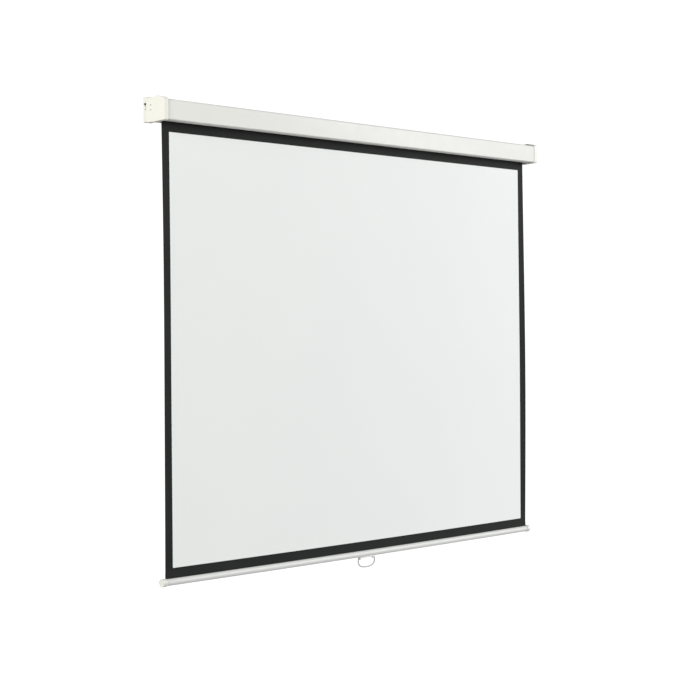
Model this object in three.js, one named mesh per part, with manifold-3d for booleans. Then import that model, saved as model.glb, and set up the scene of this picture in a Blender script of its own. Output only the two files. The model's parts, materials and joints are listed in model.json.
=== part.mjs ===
// A pull-down projection screen with a 4:3 picture area of 84 inches, hung on a wall or under a ceiling.
// Millimetres, +Z up. X runs along the screen, the wall is the plane y = 0 and the screen faces -Y.
// The origin lies in the wall plane, midway between the two hangers and at half the case's height.
import * as THREE from 'three';
import { mergeVertices } from 'three/addons/utils/BufferGeometryUtils.js';
import Module from 'manifold-3d';

const wasm = await Module();
wasm.setup();

// Driving sizes
const GAP = 0.3;
const PICTURE_WIDTH = 1707;
const PICTURE_HEIGHT = 1280;
const SIDE_BORDER = 29.5;
const BOTTOM_BORDER = 30;
const PICTURE_TOP = -62;
const FABRIC_Y = -49;
const BACKING_THICKNESS = 0.4;
const SURFACE_THICKNESS = 0.3;

const CAP_OUTER_X = 912;
const CAP_DEPTH = 16;
const CAP_WALL = 2.2;
const CAP_END_WALL = 3;
const CASE_HALF_LENGTH = 906.2;
const CASE_WALL = 1.0;

const AXLE_Y = -66.8;
const AXLE_Z = -1;
const ROLLER_HALF_LENGTH = 889.9;
const ROLLER_RADIUS = 16.5;
const ROLLER_WALL = 1.2;
const WRAP_THICKNESS = 0.7;
const SHAFT_RADIUS = 4;
const IDLE_PIN_RADIUS = 3;

const BAR_RADIUS = 10.3;
const BAR_WALL = 1.2;
const BAR_HALF_LENGTH = 894;
const BAR_PLUG_OUTER_X = 898;
const BAR_PLUG_LENGTH = 14.5;
const BAR_PLUG_RADIUS = 12.2;

const HANDLE_HALF_WIDTH = 40;
const HANDLE_DROP = 29.5;
const HANDLE_BOW_HEIGHT = 19.5;
const HANDLE_WIRE_RADIUS = 2.2;

// Worked out from them
const FABRIC_HALF_WIDTH = PICTURE_WIDTH / 2 + SIDE_BORDER;
const PICTURE_BOTTOM = PICTURE_TOP - PICTURE_HEIGHT;
const BAR_TOP = PICTURE_BOTTOM - BOTTOM_BORDER;
const BAR_Z = BAR_TOP - BAR_RADIUS;
const CAP_INNER_X = CAP_OUTER_X - CAP_DEPTH;
const BRACKET_X = CAP_OUTER_X - CAP_END_WALL - GAP;
const BRACKET_THICKNESS = 2;
const PLUG_FLANGE_X = ROLLER_HALF_LENGTH + GAP;

// Finishes
function finish(color, roughness, metalness = 0) {
  return new THREE.MeshStandardMaterial({ color, roughness, metalness });
}
const whitePaint = finish(0xe9e9e3, 0.42);
const whitePlastic = finish(0xf3f2e8, 0.5);
const platedSteel = finish(0xb9bcbd, 0.35, 0.9);
const springSteel = finish(0x6f7275, 0.4, 0.9);
const greyPlastic = finish(0x8f9292, 0.55);
const blackCloth = finish(0x16181a, 0.85);
const whiteCloth = finish(0xeef0ef, 0.9);

// Places a local X, Y section into the part's Y, Z plane, with its depth along +X
const SECTION_TO_YZ = new THREE.Matrix4().makeBasis(
  new THREE.Vector3(0, 1, 0),
  new THREE.Vector3(0, 0, 1),
  new THREE.Vector3(1, 0, 0),
);

function bare(geometry) {
  const copy = geometry.clone();
  copy.deleteAttribute('normal');
  copy.deleteAttribute('uv');
  return mergeVertices(copy, 1e-4);
}

function toSolid(geometry) {
  const merged = bare(geometry);
  return new wasm.Manifold(new wasm.Mesh({
    numProp: 3,
    vertProperties: new Float32Array(merged.attributes.position.array),
    triVerts: new Uint32Array(merged.index.array),
  }));
}

function toGeometry(solid) {
  const mesh = solid.getMesh();
  const geometry = new THREE.BufferGeometry();
  geometry.setAttribute('position', new THREE.BufferAttribute(mesh.vertProperties, 3));
  geometry.setIndex(new THREE.BufferAttribute(mesh.triVerts, 1));
  return geometry;
}

function join(...geometries) {
  return toGeometry(geometries.map(toSolid).reduce((whole, next) => whole.add(next)));
}

function cut(geometry, ...tools) {
  return toGeometry(tools.map(toSolid).reduce((rest, tool) => rest.subtract(tool), toSolid(geometry)));
}

// Draws a closed outline through corners [u, v, radius], with each corner rounded
function roundedShape(corners) {
  const shape = new THREE.Shape();
  const count = corners.length;
  corners.forEach(([u, v, radius = 0], i) => {
    const corner = new THREE.Vector2(u, v);
    const before = new THREE.Vector2(...corners[(i + count - 1) % count].slice(0, 2)).sub(corner);
    const after = new THREE.Vector2(...corners[(i + 1) % count].slice(0, 2)).sub(corner);
    const start = corner.clone().addScaledVector(before.normalize(), radius);
    const end = corner.clone().addScaledVector(after.normalize(), radius);
    if (i === 0) {
      shape.moveTo(start.x, start.y);
    } else {
      shape.lineTo(start.x, start.y);
    }
    if (radius > 0) {
      shape.quadraticCurveTo(u, v, end.x, end.y);
    }
  });
  shape.closePath();
  return shape;
}

// Extrudes a Y, Z section along X from one end to the other
function alongX(corners, fromX, toX, curveSegments = 4) {
  const geometry = new THREE.ExtrudeGeometry(roundedShape(corners), {
    depth: toX - fromX,
    bevelEnabled: false,
    curveSegments,
  });
  geometry.applyMatrix4(SECTION_TO_YZ);
  geometry.translate(fromX, 0, 0);
  return geometry;
}

function block([x0, x1], [y0, y1], [z0, z1]) {
  const geometry = new THREE.BoxGeometry(x1 - x0, y1 - y0, z1 - z0);
  geometry.translate((x0 + x1) / 2, (y0 + y1) / 2, (z0 + z1) / 2);
  return geometry;
}

function rodX(radius, fromX, toX, y = 0, z = 0, sides = 20) {
  const geometry = new THREE.CylinderGeometry(radius, radius, toX - fromX, sides);
  geometry.rotateZ(-Math.PI / 2);
  geometry.translate((fromX + toX) / 2, y, z);
  return geometry;
}

function rodY(radius, fromY, toY, x = 0, z = 0, sides = 20) {
  const geometry = new THREE.CylinderGeometry(radius, radius, toY - fromY, sides);
  geometry.translate(x, (fromY + toY) / 2, z);
  return geometry;
}

function rodZ(radius, fromZ, toZ, x = 0, y = 0, sides = 20) {
  const geometry = new THREE.CylinderGeometry(radius, radius, toZ - fromZ, sides);
  geometry.rotateX(Math.PI / 2);
  geometry.translate(x, y, (fromZ + toZ) / 2);
  return geometry;
}

// Turns a closed ring profile of [x, radius] points about the X axis
function turnedX(profile, sides = 32) {
  const points = [...profile, profile[0]].map(([x, radius]) => new THREE.Vector2(radius, x));
  const geometry = new THREE.LatheGeometry(points, sides);
  geometry.rotateZ(-Math.PI / 2);
  return geometry;
}

// Mirrors a left-hand piece to the right, with its faces turned back outwards
function mirrored(geometry) {
  const copy = bare(geometry);
  copy.scale(-1, 1, 1);
  const index = copy.index.array;
  for (let i = 0; i < index.length; i += 3) {
    [index[i], index[i + 1]] = [index[i + 1], index[i]];
  }
  return copy;
}

function piece(name, geometry, material, parent) {
  const mesh = new THREE.Mesh(geometry, material);
  mesh.name = name;
  parent.add(mesh);
  return mesh;
}

// The left piece as drawn and its mirror image on the right
function pair(name, geometry, material, parent) {
  piece(`left_${name}`, geometry, material, parent);
  piece(`right_${name}`, mirrored(geometry), material, parent);
}

// Sections in Y and Z, each corner as [y, z, radius]

const PEAK_Y = -63.4;
const CAP_FRONT_Y = -96.3;
const CAP_REAR_Y = -17;
const CAP_BOTTOM = -37.4;
const CAP_FRONT_BOTTOM = -35;
const CAP_FRONT_TOP = 30.4;
const CAP_PEAK = 38.2;
const CAP_REAR_TOP = 33;

// The cap's outline, or that of its hollow when moved in by the wall on every side
function capSection(inset) {
  const front = CAP_FRONT_Y + inset;
  const rear = CAP_REAR_Y - inset;
  const low = CAP_BOTTOM + inset;
  return [
    [front, CAP_FRONT_BOTTOM + inset, 5],
    [-73, CAP_FRONT_BOTTOM - 0.8 + inset, 6],
    [-51, low, 6],
    [rear, low, 3],
    [rear, CAP_REAR_TOP - inset, 3.5],
    [PEAK_Y, CAP_PEAK - inset, 4],
    [front, CAP_FRONT_TOP - inset, 5.5],
  ];
}

const CASE_FRONT_Y = -93.8;
const CASE_REAR_Y = -21;
const CASE_FRONT_TOP = 26.3;
const CASE_PEAK = 32.8;
const CASE_REAR_TOP = 28.5;
const CASE_FRONT_BOTTOM = -32;
const CASE_BEND_Y = -74;
const CASE_BEND_Z = -32.2;
const CASE_REAR_BOTTOM = -34.6;
const SLOT_FRONT_Y = -60;
const SLOT_REAR_Y = -38;
const SLOT_FRONT_BOTTOM = -32.9;
const SLOT_LIP_HEIGHT = 6;

// One folded sheet: down the front, under it to the slot, and back round by the top and the rear
const CASE_SECTION = [
  [SLOT_FRONT_Y, SLOT_FRONT_BOTTOM, 1.5],
  [SLOT_FRONT_Y, SLOT_FRONT_BOTTOM + SLOT_LIP_HEIGHT, 0],
  [SLOT_FRONT_Y - CASE_WALL, SLOT_FRONT_BOTTOM + SLOT_LIP_HEIGHT, 0],
  [SLOT_FRONT_Y - CASE_WALL, SLOT_FRONT_BOTTOM + CASE_WALL, 0.5],
  [CASE_BEND_Y, CASE_BEND_Z + CASE_WALL, 1],
  [CASE_FRONT_Y + CASE_WALL, CASE_FRONT_BOTTOM + CASE_WALL, 2],
  [CASE_FRONT_Y + CASE_WALL, CASE_FRONT_TOP - CASE_WALL, 4],
  [PEAK_Y, CASE_PEAK - CASE_WALL, 8],
  [CASE_REAR_Y - CASE_WALL, CASE_REAR_TOP - CASE_WALL, 2],
  [CASE_REAR_Y - CASE_WALL, CASE_REAR_BOTTOM + CASE_WALL, 1],
  [SLOT_REAR_Y + CASE_WALL, CASE_REAR_BOTTOM + CASE_WALL, 0.5],
  [SLOT_REAR_Y + CASE_WALL, CASE_REAR_BOTTOM + SLOT_LIP_HEIGHT, 0],
  [SLOT_REAR_Y, CASE_REAR_BOTTOM + SLOT_LIP_HEIGHT, 0],
  [SLOT_REAR_Y, CASE_REAR_BOTTOM, 1.5],
  [CASE_REAR_Y, CASE_REAR_BOTTOM, 2],
  [CASE_REAR_Y, CASE_REAR_TOP, 3],
  [PEAK_Y, CASE_PEAK, 9],
  [CASE_FRONT_Y, CASE_FRONT_TOP, 5],
  [CASE_FRONT_Y, CASE_FRONT_BOTTOM, 3],
  [CASE_BEND_Y, CASE_BEND_Z, 2],
];

// Screws

const SCREW_RADIUS = 1.9;
const SCREW_HOLE_RADIUS = SCREW_RADIUS + GAP;
const HANGER_SCREW_X = -901.5;
const HANGER_SCREW_Z = [18, -22];
const HANGER_SCREW_TIP_Y = -24;
const HANGER_SCREW_HEAD_RADIUS = 3.6;
const HANGER_SCREW_HEAD_HEIGHT = 2.2;
const CAP_SCREW_Y = -36.3;
const CAP_SCREW_Z = [13, -1.5];
const CAP_SCREW_TIP_X = -904.5;
const CAP_SCREW_HEAD_RADIUS = 3.2;
const CAP_SCREW_HEAD_HEIGHT = 1.4;

// Reaches of the tools that cut through the end of the case, and through its rear
const THROUGH_END = [-CAP_OUTER_X - 3, -CAP_OUTER_X + 12];
const THROUGH_REAR = [-26, -13];

function capScrewHoles() {
  return CAP_SCREW_Z.map((z) => rodX(SCREW_HOLE_RADIUS, ...THROUGH_END, CAP_SCREW_Y, z, 16));
}

function hangerScrewHoles(x) {
  return HANGER_SCREW_Z.map((z) => rodY(SCREW_HOLE_RADIUS, ...THROUGH_REAR, x, z, 16));
}

// Hangers: a channel of folded steel, open towards the middle of the screen

const HANGER_OUTER_X = -910;
const HANGER_INNER_X = -878;
const HANGER_TOP = 39.4;
const HANGER_BOTTOM = -35;
const HANGER_SHEET = 1.8;
const HANGER_FRONT_Y = CAP_REAR_Y + GAP;
const HANGER_LIP_X = -890;

const WALL_KEYHOLE_X = -890;
const WALL_KEYHOLE_Z = [-4, 8];
const WALL_KEYHOLE_HEAD_RADIUS = 4.5;
const WALL_KEYHOLE_SLOT_HALF_WIDTH = 2.3;
const SIDE_KEYHOLE_Y = -10.3;
const SIDE_KEYHOLE_Z = [7.5, 18];
const SIDE_KEYHOLE_HEAD_RADIUS = 3.6;
const SIDE_KEYHOLE_HEAD_ENDS = [-11.1, -8.3];
const SIDE_KEYHOLE_SLOT_HALF_WIDTH = 1.6;
const SIDE_HOLE_Z = 2.7;
const SIDE_HOLE_RADIUS = 2.2;
const CEILING_HOLE_X = -894;
const CEILING_HOLE_Y = -8.5;
const CEILING_HOLE_RADIUS = 3;

function wallKeyhole() {
  const through = [-2 * HANGER_SHEET, HANGER_SHEET];
  const half = WALL_KEYHOLE_SLOT_HALF_WIDTH;
  return [
    rodY(WALL_KEYHOLE_HEAD_RADIUS, ...through, WALL_KEYHOLE_X, WALL_KEYHOLE_Z[0], 24),
    block([WALL_KEYHOLE_X - half, WALL_KEYHOLE_X + half], through, WALL_KEYHOLE_Z),
  ];
}

function sideKeyhole() {
  const through = [HANGER_OUTER_X - HANGER_SHEET, HANGER_OUTER_X + 2 * HANGER_SHEET];
  const half = SIDE_KEYHOLE_SLOT_HALF_WIDTH;
  const radius = SIDE_KEYHOLE_HEAD_RADIUS;
  const headZ = SIDE_KEYHOLE_Z[1];
  return [
    ...SIDE_KEYHOLE_HEAD_ENDS.map((y) => rodX(radius, ...through, y, headZ, 20)),
    block(through, SIDE_KEYHOLE_HEAD_ENDS, [headZ - radius, headZ + radius]),
    block(through, [SIDE_KEYHOLE_Y - half, SIDE_KEYHOLE_Y + half], SIDE_KEYHOLE_Z),
    rodX(SIDE_HOLE_RADIUS, ...through, SIDE_KEYHOLE_Y, SIDE_HOLE_Z, 16),
  ];
}

function hanger() {
  const across = [HANGER_OUTER_X, HANGER_INNER_X];
  const height = [HANGER_BOTTOM, HANGER_TOP];
  const lip = [HANGER_FRONT_Y, HANGER_FRONT_Y + HANGER_SHEET];
  const channel = join(
    block([HANGER_OUTER_X, HANGER_OUTER_X + HANGER_SHEET], [HANGER_FRONT_Y, 0], height),
    block(across, [-HANGER_SHEET, 0], height),
    block([HANGER_OUTER_X, HANGER_LIP_X], lip, height),
    block(across, [HANGER_FRONT_Y, 0], [HANGER_TOP - HANGER_SHEET, HANGER_TOP]),
  );
  const ceilingThrough = [HANGER_TOP - 2 * HANGER_SHEET, HANGER_TOP + HANGER_SHEET];
  const ceilingHole = rodZ(CEILING_HOLE_RADIUS, ...ceilingThrough, CEILING_HOLE_X, CEILING_HOLE_Y, 20);
  return cut(channel, ...wallKeyhole(), ...sideKeyhole(), ceilingHole, ...hangerScrewHoles(HANGER_SCREW_X));
}

function endCap() {
  const shell = alongX(capSection(0), -CAP_OUTER_X, -CAP_INNER_X, 5);
  const hollow = alongX(capSection(CAP_WALL), -CAP_OUTER_X + CAP_END_WALL, -CAP_INNER_X + 5, 5);
  return cut(shell, hollow, ...hangerScrewHoles(HANGER_SCREW_X), ...capScrewHoles());
}

function caseShell() {
  const sheet = alongX(CASE_SECTION, -CASE_HALF_LENGTH, CASE_HALF_LENGTH, 4);
  return cut(sheet, ...hangerScrewHoles(HANGER_SCREW_X), ...hangerScrewHoles(-HANGER_SCREW_X));
}

// The steel plate in each cap that carries an end of the roller
const BRACKET_SECTION = [
  [-86, -18, 8],
  [-46, -24, 6],
  [-28, -24, 6],
  [-28, 24, 6],
  [-48, 24, 6],
  [-86, 18, 8],
];
const BLADE_HALF_WIDTH = 3.5;
const BLADE_HALF_HEIGHT = 1.3;
const BUSH_RADIUS = 5.6;
const BUSH_FLANGE_RADIUS = 8;
const BUSH_FLANGE_THICKNESS = 2.3;

function bracketPlate(hole) {
  const plate = alongX(BRACKET_SECTION, -BRACKET_X, -BRACKET_X + BRACKET_THICKNESS, 4);
  return cut(plate, ...capScrewHoles(), hole);
}

// The slot that keeps the shaft's flat blade from turning
function bladeSlot() {
  const halfWidth = BLADE_HALF_WIDTH + GAP;
  const halfHeight = BLADE_HALF_HEIGHT + GAP;
  return block(
    THROUGH_END,
    [AXLE_Y - halfWidth, AXLE_Y + halfWidth],
    [AXLE_Z - halfHeight, AXLE_Z + halfHeight],
  );
}

function capScrew(z) {
  const headX = -CAP_OUTER_X - GAP;
  return join(
    rodX(SCREW_RADIUS, headX, CAP_SCREW_TIP_X, CAP_SCREW_Y, z, 12),
    rodX(CAP_SCREW_HEAD_RADIUS, headX - CAP_SCREW_HEAD_HEIGHT, headX, CAP_SCREW_Y, z, 16),
  );
}

function hangerScrew(z) {
  const seat = HANGER_FRONT_Y + HANGER_SHEET + GAP;
  return join(
    rodY(SCREW_RADIUS, HANGER_SCREW_TIP_Y, seat, HANGER_SCREW_X, z, 12),
    rodY(HANGER_SCREW_HEAD_RADIUS, seat, seat + HANGER_SCREW_HEAD_HEIGHT, HANGER_SCREW_X, z, 16),
  );
}

// The case, its end caps and hangers, and what fastens them
function buildCase(root) {
  piece('case_shell', caseShell(), whitePaint, root);
  pair('end_cap', endCap(), whitePlastic, root);
  pair('hanger', hanger(), whitePaint, root);

  const bushHole = rodX(BUSH_RADIUS + GAP, ...THROUGH_END, AXLE_Y, AXLE_Z, 24);
  piece('left_bracket', bracketPlate(bladeSlot()), platedSteel, root);
  piece('right_bracket', mirrored(bracketPlate(bushHole)), platedSteel, root);

  const levels = ['upper', 'lower'];
  levels.forEach((level, i) => {
    pair(`cap_screw_${level}`, capScrew(CAP_SCREW_Z[i]), whitePaint, root);
    pair(`hanger_screw_${level}`, hangerScrew(HANGER_SCREW_Z[i]), platedSteel, root);
  });
}

// Roller, drawn about the X axis and placed by its group

const TUBE_INNER_RADIUS = ROLLER_RADIUS - ROLLER_WALL;
const PLUG_RADIUS = TUBE_INNER_RADIUS - GAP;
const PLUG_FLANGE_RADIUS = 16.2;
const PLUG_FLANGE_THICKNESS = 3;
const PLUG_INNER_X = 868;
const PAWL_X = [-896.8, -893.8];
const PAWL_PIVOT_RADIUS = 11.5;
const RIVET_RADIUS = 1.4;
const RATCHET_RADIUS = 7.5;
const NOTCH_FLOOR = 5.4;
const NOTCH_HALF_WIDTH = 3;
const NOTCH_ANGLE = (52 * Math.PI) / 180;
const RIVET_HEAD_RADIUS = 2.6;
const RIVET_HEAD_X = [-898.4, -897.1];
const RIVET_TIP_X = -887;
const COLLAR_X = [-897.6, -893.6];
const SHAFT_OUTER_X = -899;
const SPRING_ANCHOR_X = [-658, -646];
const SPRING_ANCHOR_RADIUS = 12;
const SPRING_RADIUS = 9.6;
const SPRING_WIRE_RADIUS = 0.9;
const SPRING_TURNS = 24;
const SPRING_STEPS_PER_TURN = 8;
const SPRING_END_CLEARANCE = 2;
const CLIP_RADIUS = 7;
const CLIP_HALF_MOUTH = 2.6;
const BUSH_BORE_RADIUS = IDLE_PIN_RADIUS + 0.25;
const THROUGH_PLUG = [-900, -886];

// A ring with a square section, from one X to the other
function ring(inner, outer, [fromX, toX], sides) {
  return turnedX([[fromX, inner], [fromX, outer], [toX, outer], [toX, inner]], sides);
}

// A plug that closes one end of the roller tube, on the left
function endPlug(boreRadius) {
  const flangeOuter = -PLUG_FLANGE_X - PLUG_FLANGE_THICKNESS;
  return turnedX([
    [flangeOuter, boreRadius],
    [flangeOuter, PLUG_FLANGE_RADIUS],
    [-PLUG_FLANGE_X, PLUG_FLANGE_RADIUS],
    [-PLUG_FLANGE_X, PLUG_RADIUS],
    [-PLUG_INNER_X, PLUG_RADIUS],
    [-PLUG_INNER_X, boreRadius],
  ]);
}

function rivetHoles() {
  return [-1, 1].map((side) => rodX(RIVET_RADIUS + GAP, ...THROUGH_PLUG, 0, side * PAWL_PIVOT_RADIUS, 14));
}

function pawlRivet(side) {
  const z = side * PAWL_PIVOT_RADIUS;
  return join(
    rodX(RIVET_RADIUS, RIVET_HEAD_X[0], RIVET_TIP_X, 0, z, 12),
    rodX(RIVET_HEAD_RADIUS, ...RIVET_HEAD_X, 0, z, 16),
  );
}

// A pawl hangs on its rivet and drops its hooked tip into a notch of the collar
const PAWL_OUTLINE = [
  [-2.8, 14, 1.6],
  [-2.8, 8.8, 1.4],
  [4.2, 8.8, 1.5],
  [5.4, 6.2, 0.4],
  [6.6, 6, 0.5],
  [8.4, 9.6, 1.2],
  [6.4, 12.6, 2],
  [2, 14, 1.5],
];

function pawl() {
  const plate = alongX(PAWL_OUTLINE, PAWL_X[0], PAWL_X[1], 3);
  return cut(plate, rodX(RIVET_RADIUS + GAP, ...THROUGH_PLUG, 0, PAWL_PIVOT_RADIUS, 14));
}

function ratchetCollar() {
  const collar = ring(SHAFT_RADIUS + GAP, RATCHET_RADIUS, COLLAR_X, 36);
  const notch = block(THROUGH_PLUG, [NOTCH_FLOOR, RATCHET_RADIUS + 1], [-NOTCH_HALF_WIDTH, NOTCH_HALF_WIDTH]);
  notch.rotateX(NOTCH_ANGLE);
  const opposite = notch.clone().rotateX(Math.PI);
  return cut(collar, notch, opposite);
}

// A round shaft with a flat blade that the bracket's slot keeps from turning
function springShaft() {
  const round = rodX(SHAFT_RADIUS, SHAFT_OUTER_X, SPRING_ANCHOR_X[1] + SHAFT_RADIUS, 0, 0, 20);
  const blade = block(
    [-BRACKET_X, SHAFT_OUTER_X + 1],
    [-BLADE_HALF_WIDTH, BLADE_HALF_WIDTH],
    [-BLADE_HALF_HEIGHT, BLADE_HALF_HEIGHT],
  );
  return join(round, blade);
}

// A spring clip that keeps the plug from sliding along the shaft
function shaftClip() {
  const fromX = -PLUG_INNER_X + GAP;
  const washer = ring(SHAFT_RADIUS + GAP, CLIP_RADIUS, [fromX, fromX + 1], 24);
  const mouth = [-CLIP_HALF_MOUTH, CLIP_HALF_MOUTH];
  return cut(washer, block([fromX - 1, fromX + 2], [0, CLIP_RADIUS + 1], mouth));
}

class Helix extends THREE.Curve {
  constructor(radius, fromX, toX, turns) {
    super();
    Object.assign(this, { radius, fromX, toX, turns });
  }

  getPoint(t) {
    const angle = t * this.turns * 2 * Math.PI;
    const x = this.fromX + (this.toX - this.fromX) * t;
    return new THREE.Vector3(x, this.radius * Math.cos(angle), this.radius * Math.sin(angle));
  }
}

function circleShape(radius, sides) {
  const shape = new THREE.Shape();
  for (let i = 0; i < sides; i += 1) {
    const angle = (2 * Math.PI * i) / sides;
    const point = [radius * Math.cos(angle), radius * Math.sin(angle)];
    if (i === 0) {
      shape.moveTo(...point);
    } else {
      shape.lineTo(...point);
    }
  }
  shape.closePath();
  return shape;
}

function torsionSpring() {
  const fromX = -PLUG_INNER_X + SPRING_END_CLEARANCE;
  const path = new Helix(SPRING_RADIUS, fromX, SPRING_ANCHOR_X[0] - SPRING_END_CLEARANCE, SPRING_TURNS);
  return new THREE.ExtrudeGeometry(circleShape(SPRING_WIRE_RADIUS, 5), {
    extrudePath: path,
    steps: SPRING_TURNS * SPRING_STEPS_PER_TURN,
    bevelEnabled: false,
  });
}

// The bush in the right bracket, drawn on the left like every end piece
function idleBush() {
  const flangeX = -BRACKET_X + BRACKET_THICKNESS + GAP;
  return turnedX([
    [-BRACKET_X, BUSH_BORE_RADIUS],
    [-BRACKET_X, BUSH_RADIUS],
    [flangeX, BUSH_RADIUS],
    [flangeX, BUSH_FLANGE_RADIUS],
    [flangeX + BUSH_FLANGE_THICKNESS, BUSH_FLANGE_RADIUS],
    [flangeX + BUSH_FLANGE_THICKNESS, BUSH_BORE_RADIUS],
  ], 24);
}

function buildRoller(root) {
  const axle = new THREE.Group();
  axle.position.set(0, AXLE_Y, AXLE_Z);
  root.add(axle);

  piece('spring_shaft', springShaft(), platedSteel, axle);
  piece('ratchet_collar', ratchetCollar(), platedSteel, axle);
  const anchor = ring(SHAFT_RADIUS + GAP, SPRING_ANCHOR_RADIUS, SPRING_ANCHOR_X, 24);
  piece('spring_anchor', anchor, greyPlastic, axle);
  piece('torsion_spring', torsionSpring(), springSteel, axle);
  piece('shaft_clip', shaftClip(), springSteel, axle);
  piece('idle_bush', mirrored(idleBush()), whitePlastic, axle);

  const tubeSpan = [-ROLLER_HALF_LENGTH, ROLLER_HALF_LENGTH];
  const clothSpan = [-FABRIC_HALF_WIDTH, FABRIC_HALF_WIDTH];
  const wrapInner = ROLLER_RADIUS + GAP;
  piece('roller_tube', ring(TUBE_INNER_RADIUS, ROLLER_RADIUS, tubeSpan, 40), platedSteel, axle);
  piece('fabric_wraps', ring(wrapInner, wrapInner + WRAP_THICKNESS, clothSpan, 48), blackCloth, axle);
  piece('spring_plug', cut(endPlug(SHAFT_RADIUS + GAP), ...rivetHoles()), greyPlastic, axle);
  piece('idle_plug', mirrored(endPlug(IDLE_PIN_RADIUS + GAP)), greyPlastic, axle);
  const idlePin = rodX(IDLE_PIN_RADIUS, PLUG_INNER_X - IDLE_PIN_RADIUS, BRACKET_X, 0, 0, 20);
  piece('idle_pin', idlePin, platedSteel, axle);

  piece('pawl_a', pawl(), platedSteel, axle);
  piece('pawl_b', pawl().rotateX(Math.PI), platedSteel, axle);
  piece('pawl_rivet_a', pawlRivet(1), platedSteel, axle);
  piece('pawl_rivet_b', pawlRivet(-1), platedSteel, axle);
}

// Fabric: a black backing sheet, and a white surface on its front that leaves the masking border free
function buildFabric(root) {
  const across = [-FABRIC_HALF_WIDTH, FABRIC_HALF_WIDTH];
  const backing = block(across, [FABRIC_Y, FABRIC_Y + BACKING_THICKNESS], [PICTURE_BOTTOM, AXLE_Z]);
  piece('backing_sheet', backing, blackCloth, root);
  const front = FABRIC_Y - GAP;
  const surface = block(
    [-PICTURE_WIDTH / 2, PICTURE_WIDTH / 2],
    [front - SURFACE_THICKNESS, front],
    [PICTURE_BOTTOM, PICTURE_TOP],
  );
  piece('white_surface', surface, whiteCloth, root);
}

// Bottom bar, drawn about the X axis and placed by its group

const BAR_SLOT_HALF_WIDTH = 1.5;
const SPLINE_RADIUS = 3.2;
const HEM_OUTER_RADIUS = 4.3;
const HEM_FOLD_Z = -1;

function slottedBar() {
  const tube = ring(BAR_RADIUS - BAR_WALL, BAR_RADIUS, [-BAR_HALF_LENGTH, BAR_HALF_LENGTH], 36);
  const slot = block(
    [-BAR_HALF_LENGTH - 1, BAR_HALF_LENGTH + 1],
    [-BAR_SLOT_HALF_WIDTH, BAR_SLOT_HALF_WIDTH],
    [BAR_RADIUS / 2, BAR_RADIUS + 1],
  );
  return cut(tube, slot);
}

// A cup over the end of the bar, with a turned edge
function barPlug() {
  const outer = -BAR_PLUG_OUTER_X;
  const rim = outer + BAR_PLUG_LENGTH;
  const bore = BAR_RADIUS + GAP;
  const floorX = -BAR_HALF_LENGTH - GAP;
  const edge = 1;
  return join(
    turnedX([
      [floorX - edge, bore],
      [floorX - edge, BAR_PLUG_RADIUS],
      [rim - edge, BAR_PLUG_RADIUS],
      [rim, BAR_PLUG_RADIUS - edge],
      [rim, bore],
    ], 32),
    rodX(BAR_PLUG_RADIUS - edge, outer, floorX, 0, 0, 32),
    rodX(BAR_PLUG_RADIUS, outer + edge, floorX, 0, 0, 32),
  );
}

// The bottom edge of the fabric: the black band above the bar and the loop that the rod keeps in the slot
function hemBand() {
  const band = block(
    [-FABRIC_HALF_WIDTH, FABRIC_HALF_WIDTH],
    [0, BACKING_THICKNESS],
    [HEM_FOLD_Z + HEM_OUTER_RADIUS - 0.5, BAR_RADIUS + BOTTOM_BORDER - GAP],
  );
  const loop = ring(SPLINE_RADIUS + GAP, HEM_OUTER_RADIUS, [-FABRIC_HALF_WIDTH, FABRIC_HALF_WIDTH], 16);
  return join(band, loop.translate(0, 0, HEM_FOLD_Z));
}

const HANDLE_BASE_HALF_LENGTH = 36;
const HANDLE_BASE_HALF_DEPTH = 6;
const HANDLE_BASE_BOTTOM = -BAR_RADIUS - 3;
const HANDLE_BASE_TOP = -BAR_RADIUS + 1.6;
const HANDLE_PIVOT_Z = -BAR_RADIUS - 4.6;
const LUG_HALF_GAP = 30;
const LUG_HALF_DEPTH = 3.9;
const HANDLE_SCREW_X = 15;
const HANDLE_SCREW_RADIUS = 1.5;
const HANDLE_SCREW_HEAD_RADIUS = 2.8;
const HANDLE_SCREW_HEAD_HEIGHT = 1.1;

// A block on each side of the middle, between two distances from it
function blocksBeside([near, far], depth, height) {
  return [block([-far, -near], depth, height), block([near, far], depth, height)];
}

// A small saddle under the bar, with a lug at each end for the handle
function handleBase() {
  const length = [-HANDLE_BASE_HALF_LENGTH, HANDLE_BASE_HALF_LENGTH];
  const pastLug = [LUG_HALF_GAP - 1, HANDLE_HALF_WIDTH];
  const depth = [-HANDLE_BASE_HALF_DEPTH, HANDLE_BASE_HALF_DEPTH];
  const plate = block(length, depth, [HANDLE_BASE_BOTTOM, HANDLE_BASE_TOP]);
  const lugs = blocksBeside(
    [LUG_HALF_GAP, HANDLE_BASE_HALF_LENGTH],
    [-LUG_HALF_DEPTH, LUG_HALF_DEPTH],
    [HANDLE_PIVOT_Z - LUG_HALF_DEPTH, -BAR_RADIUS],
  );
  const pinHole = rodX(HANDLE_WIRE_RADIUS + GAP, ...pastLug, 0, HANDLE_PIVOT_Z, 16);
  const seat = rodX(BAR_RADIUS + GAP, -HANDLE_HALF_WIDTH, HANDLE_HALF_WIDTH, 0, 0, 64);
  const screwHoles = [-1, 1].map(
    (side) => rodZ(HANDLE_SCREW_RADIUS + GAP, HANDLE_PIVOT_Z, 0, side * HANDLE_SCREW_X, 0, 14),
  );
  return cut(join(plate, ...lugs), seat, pinHole, mirrored(pinHole), ...screwHoles);
}

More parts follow.
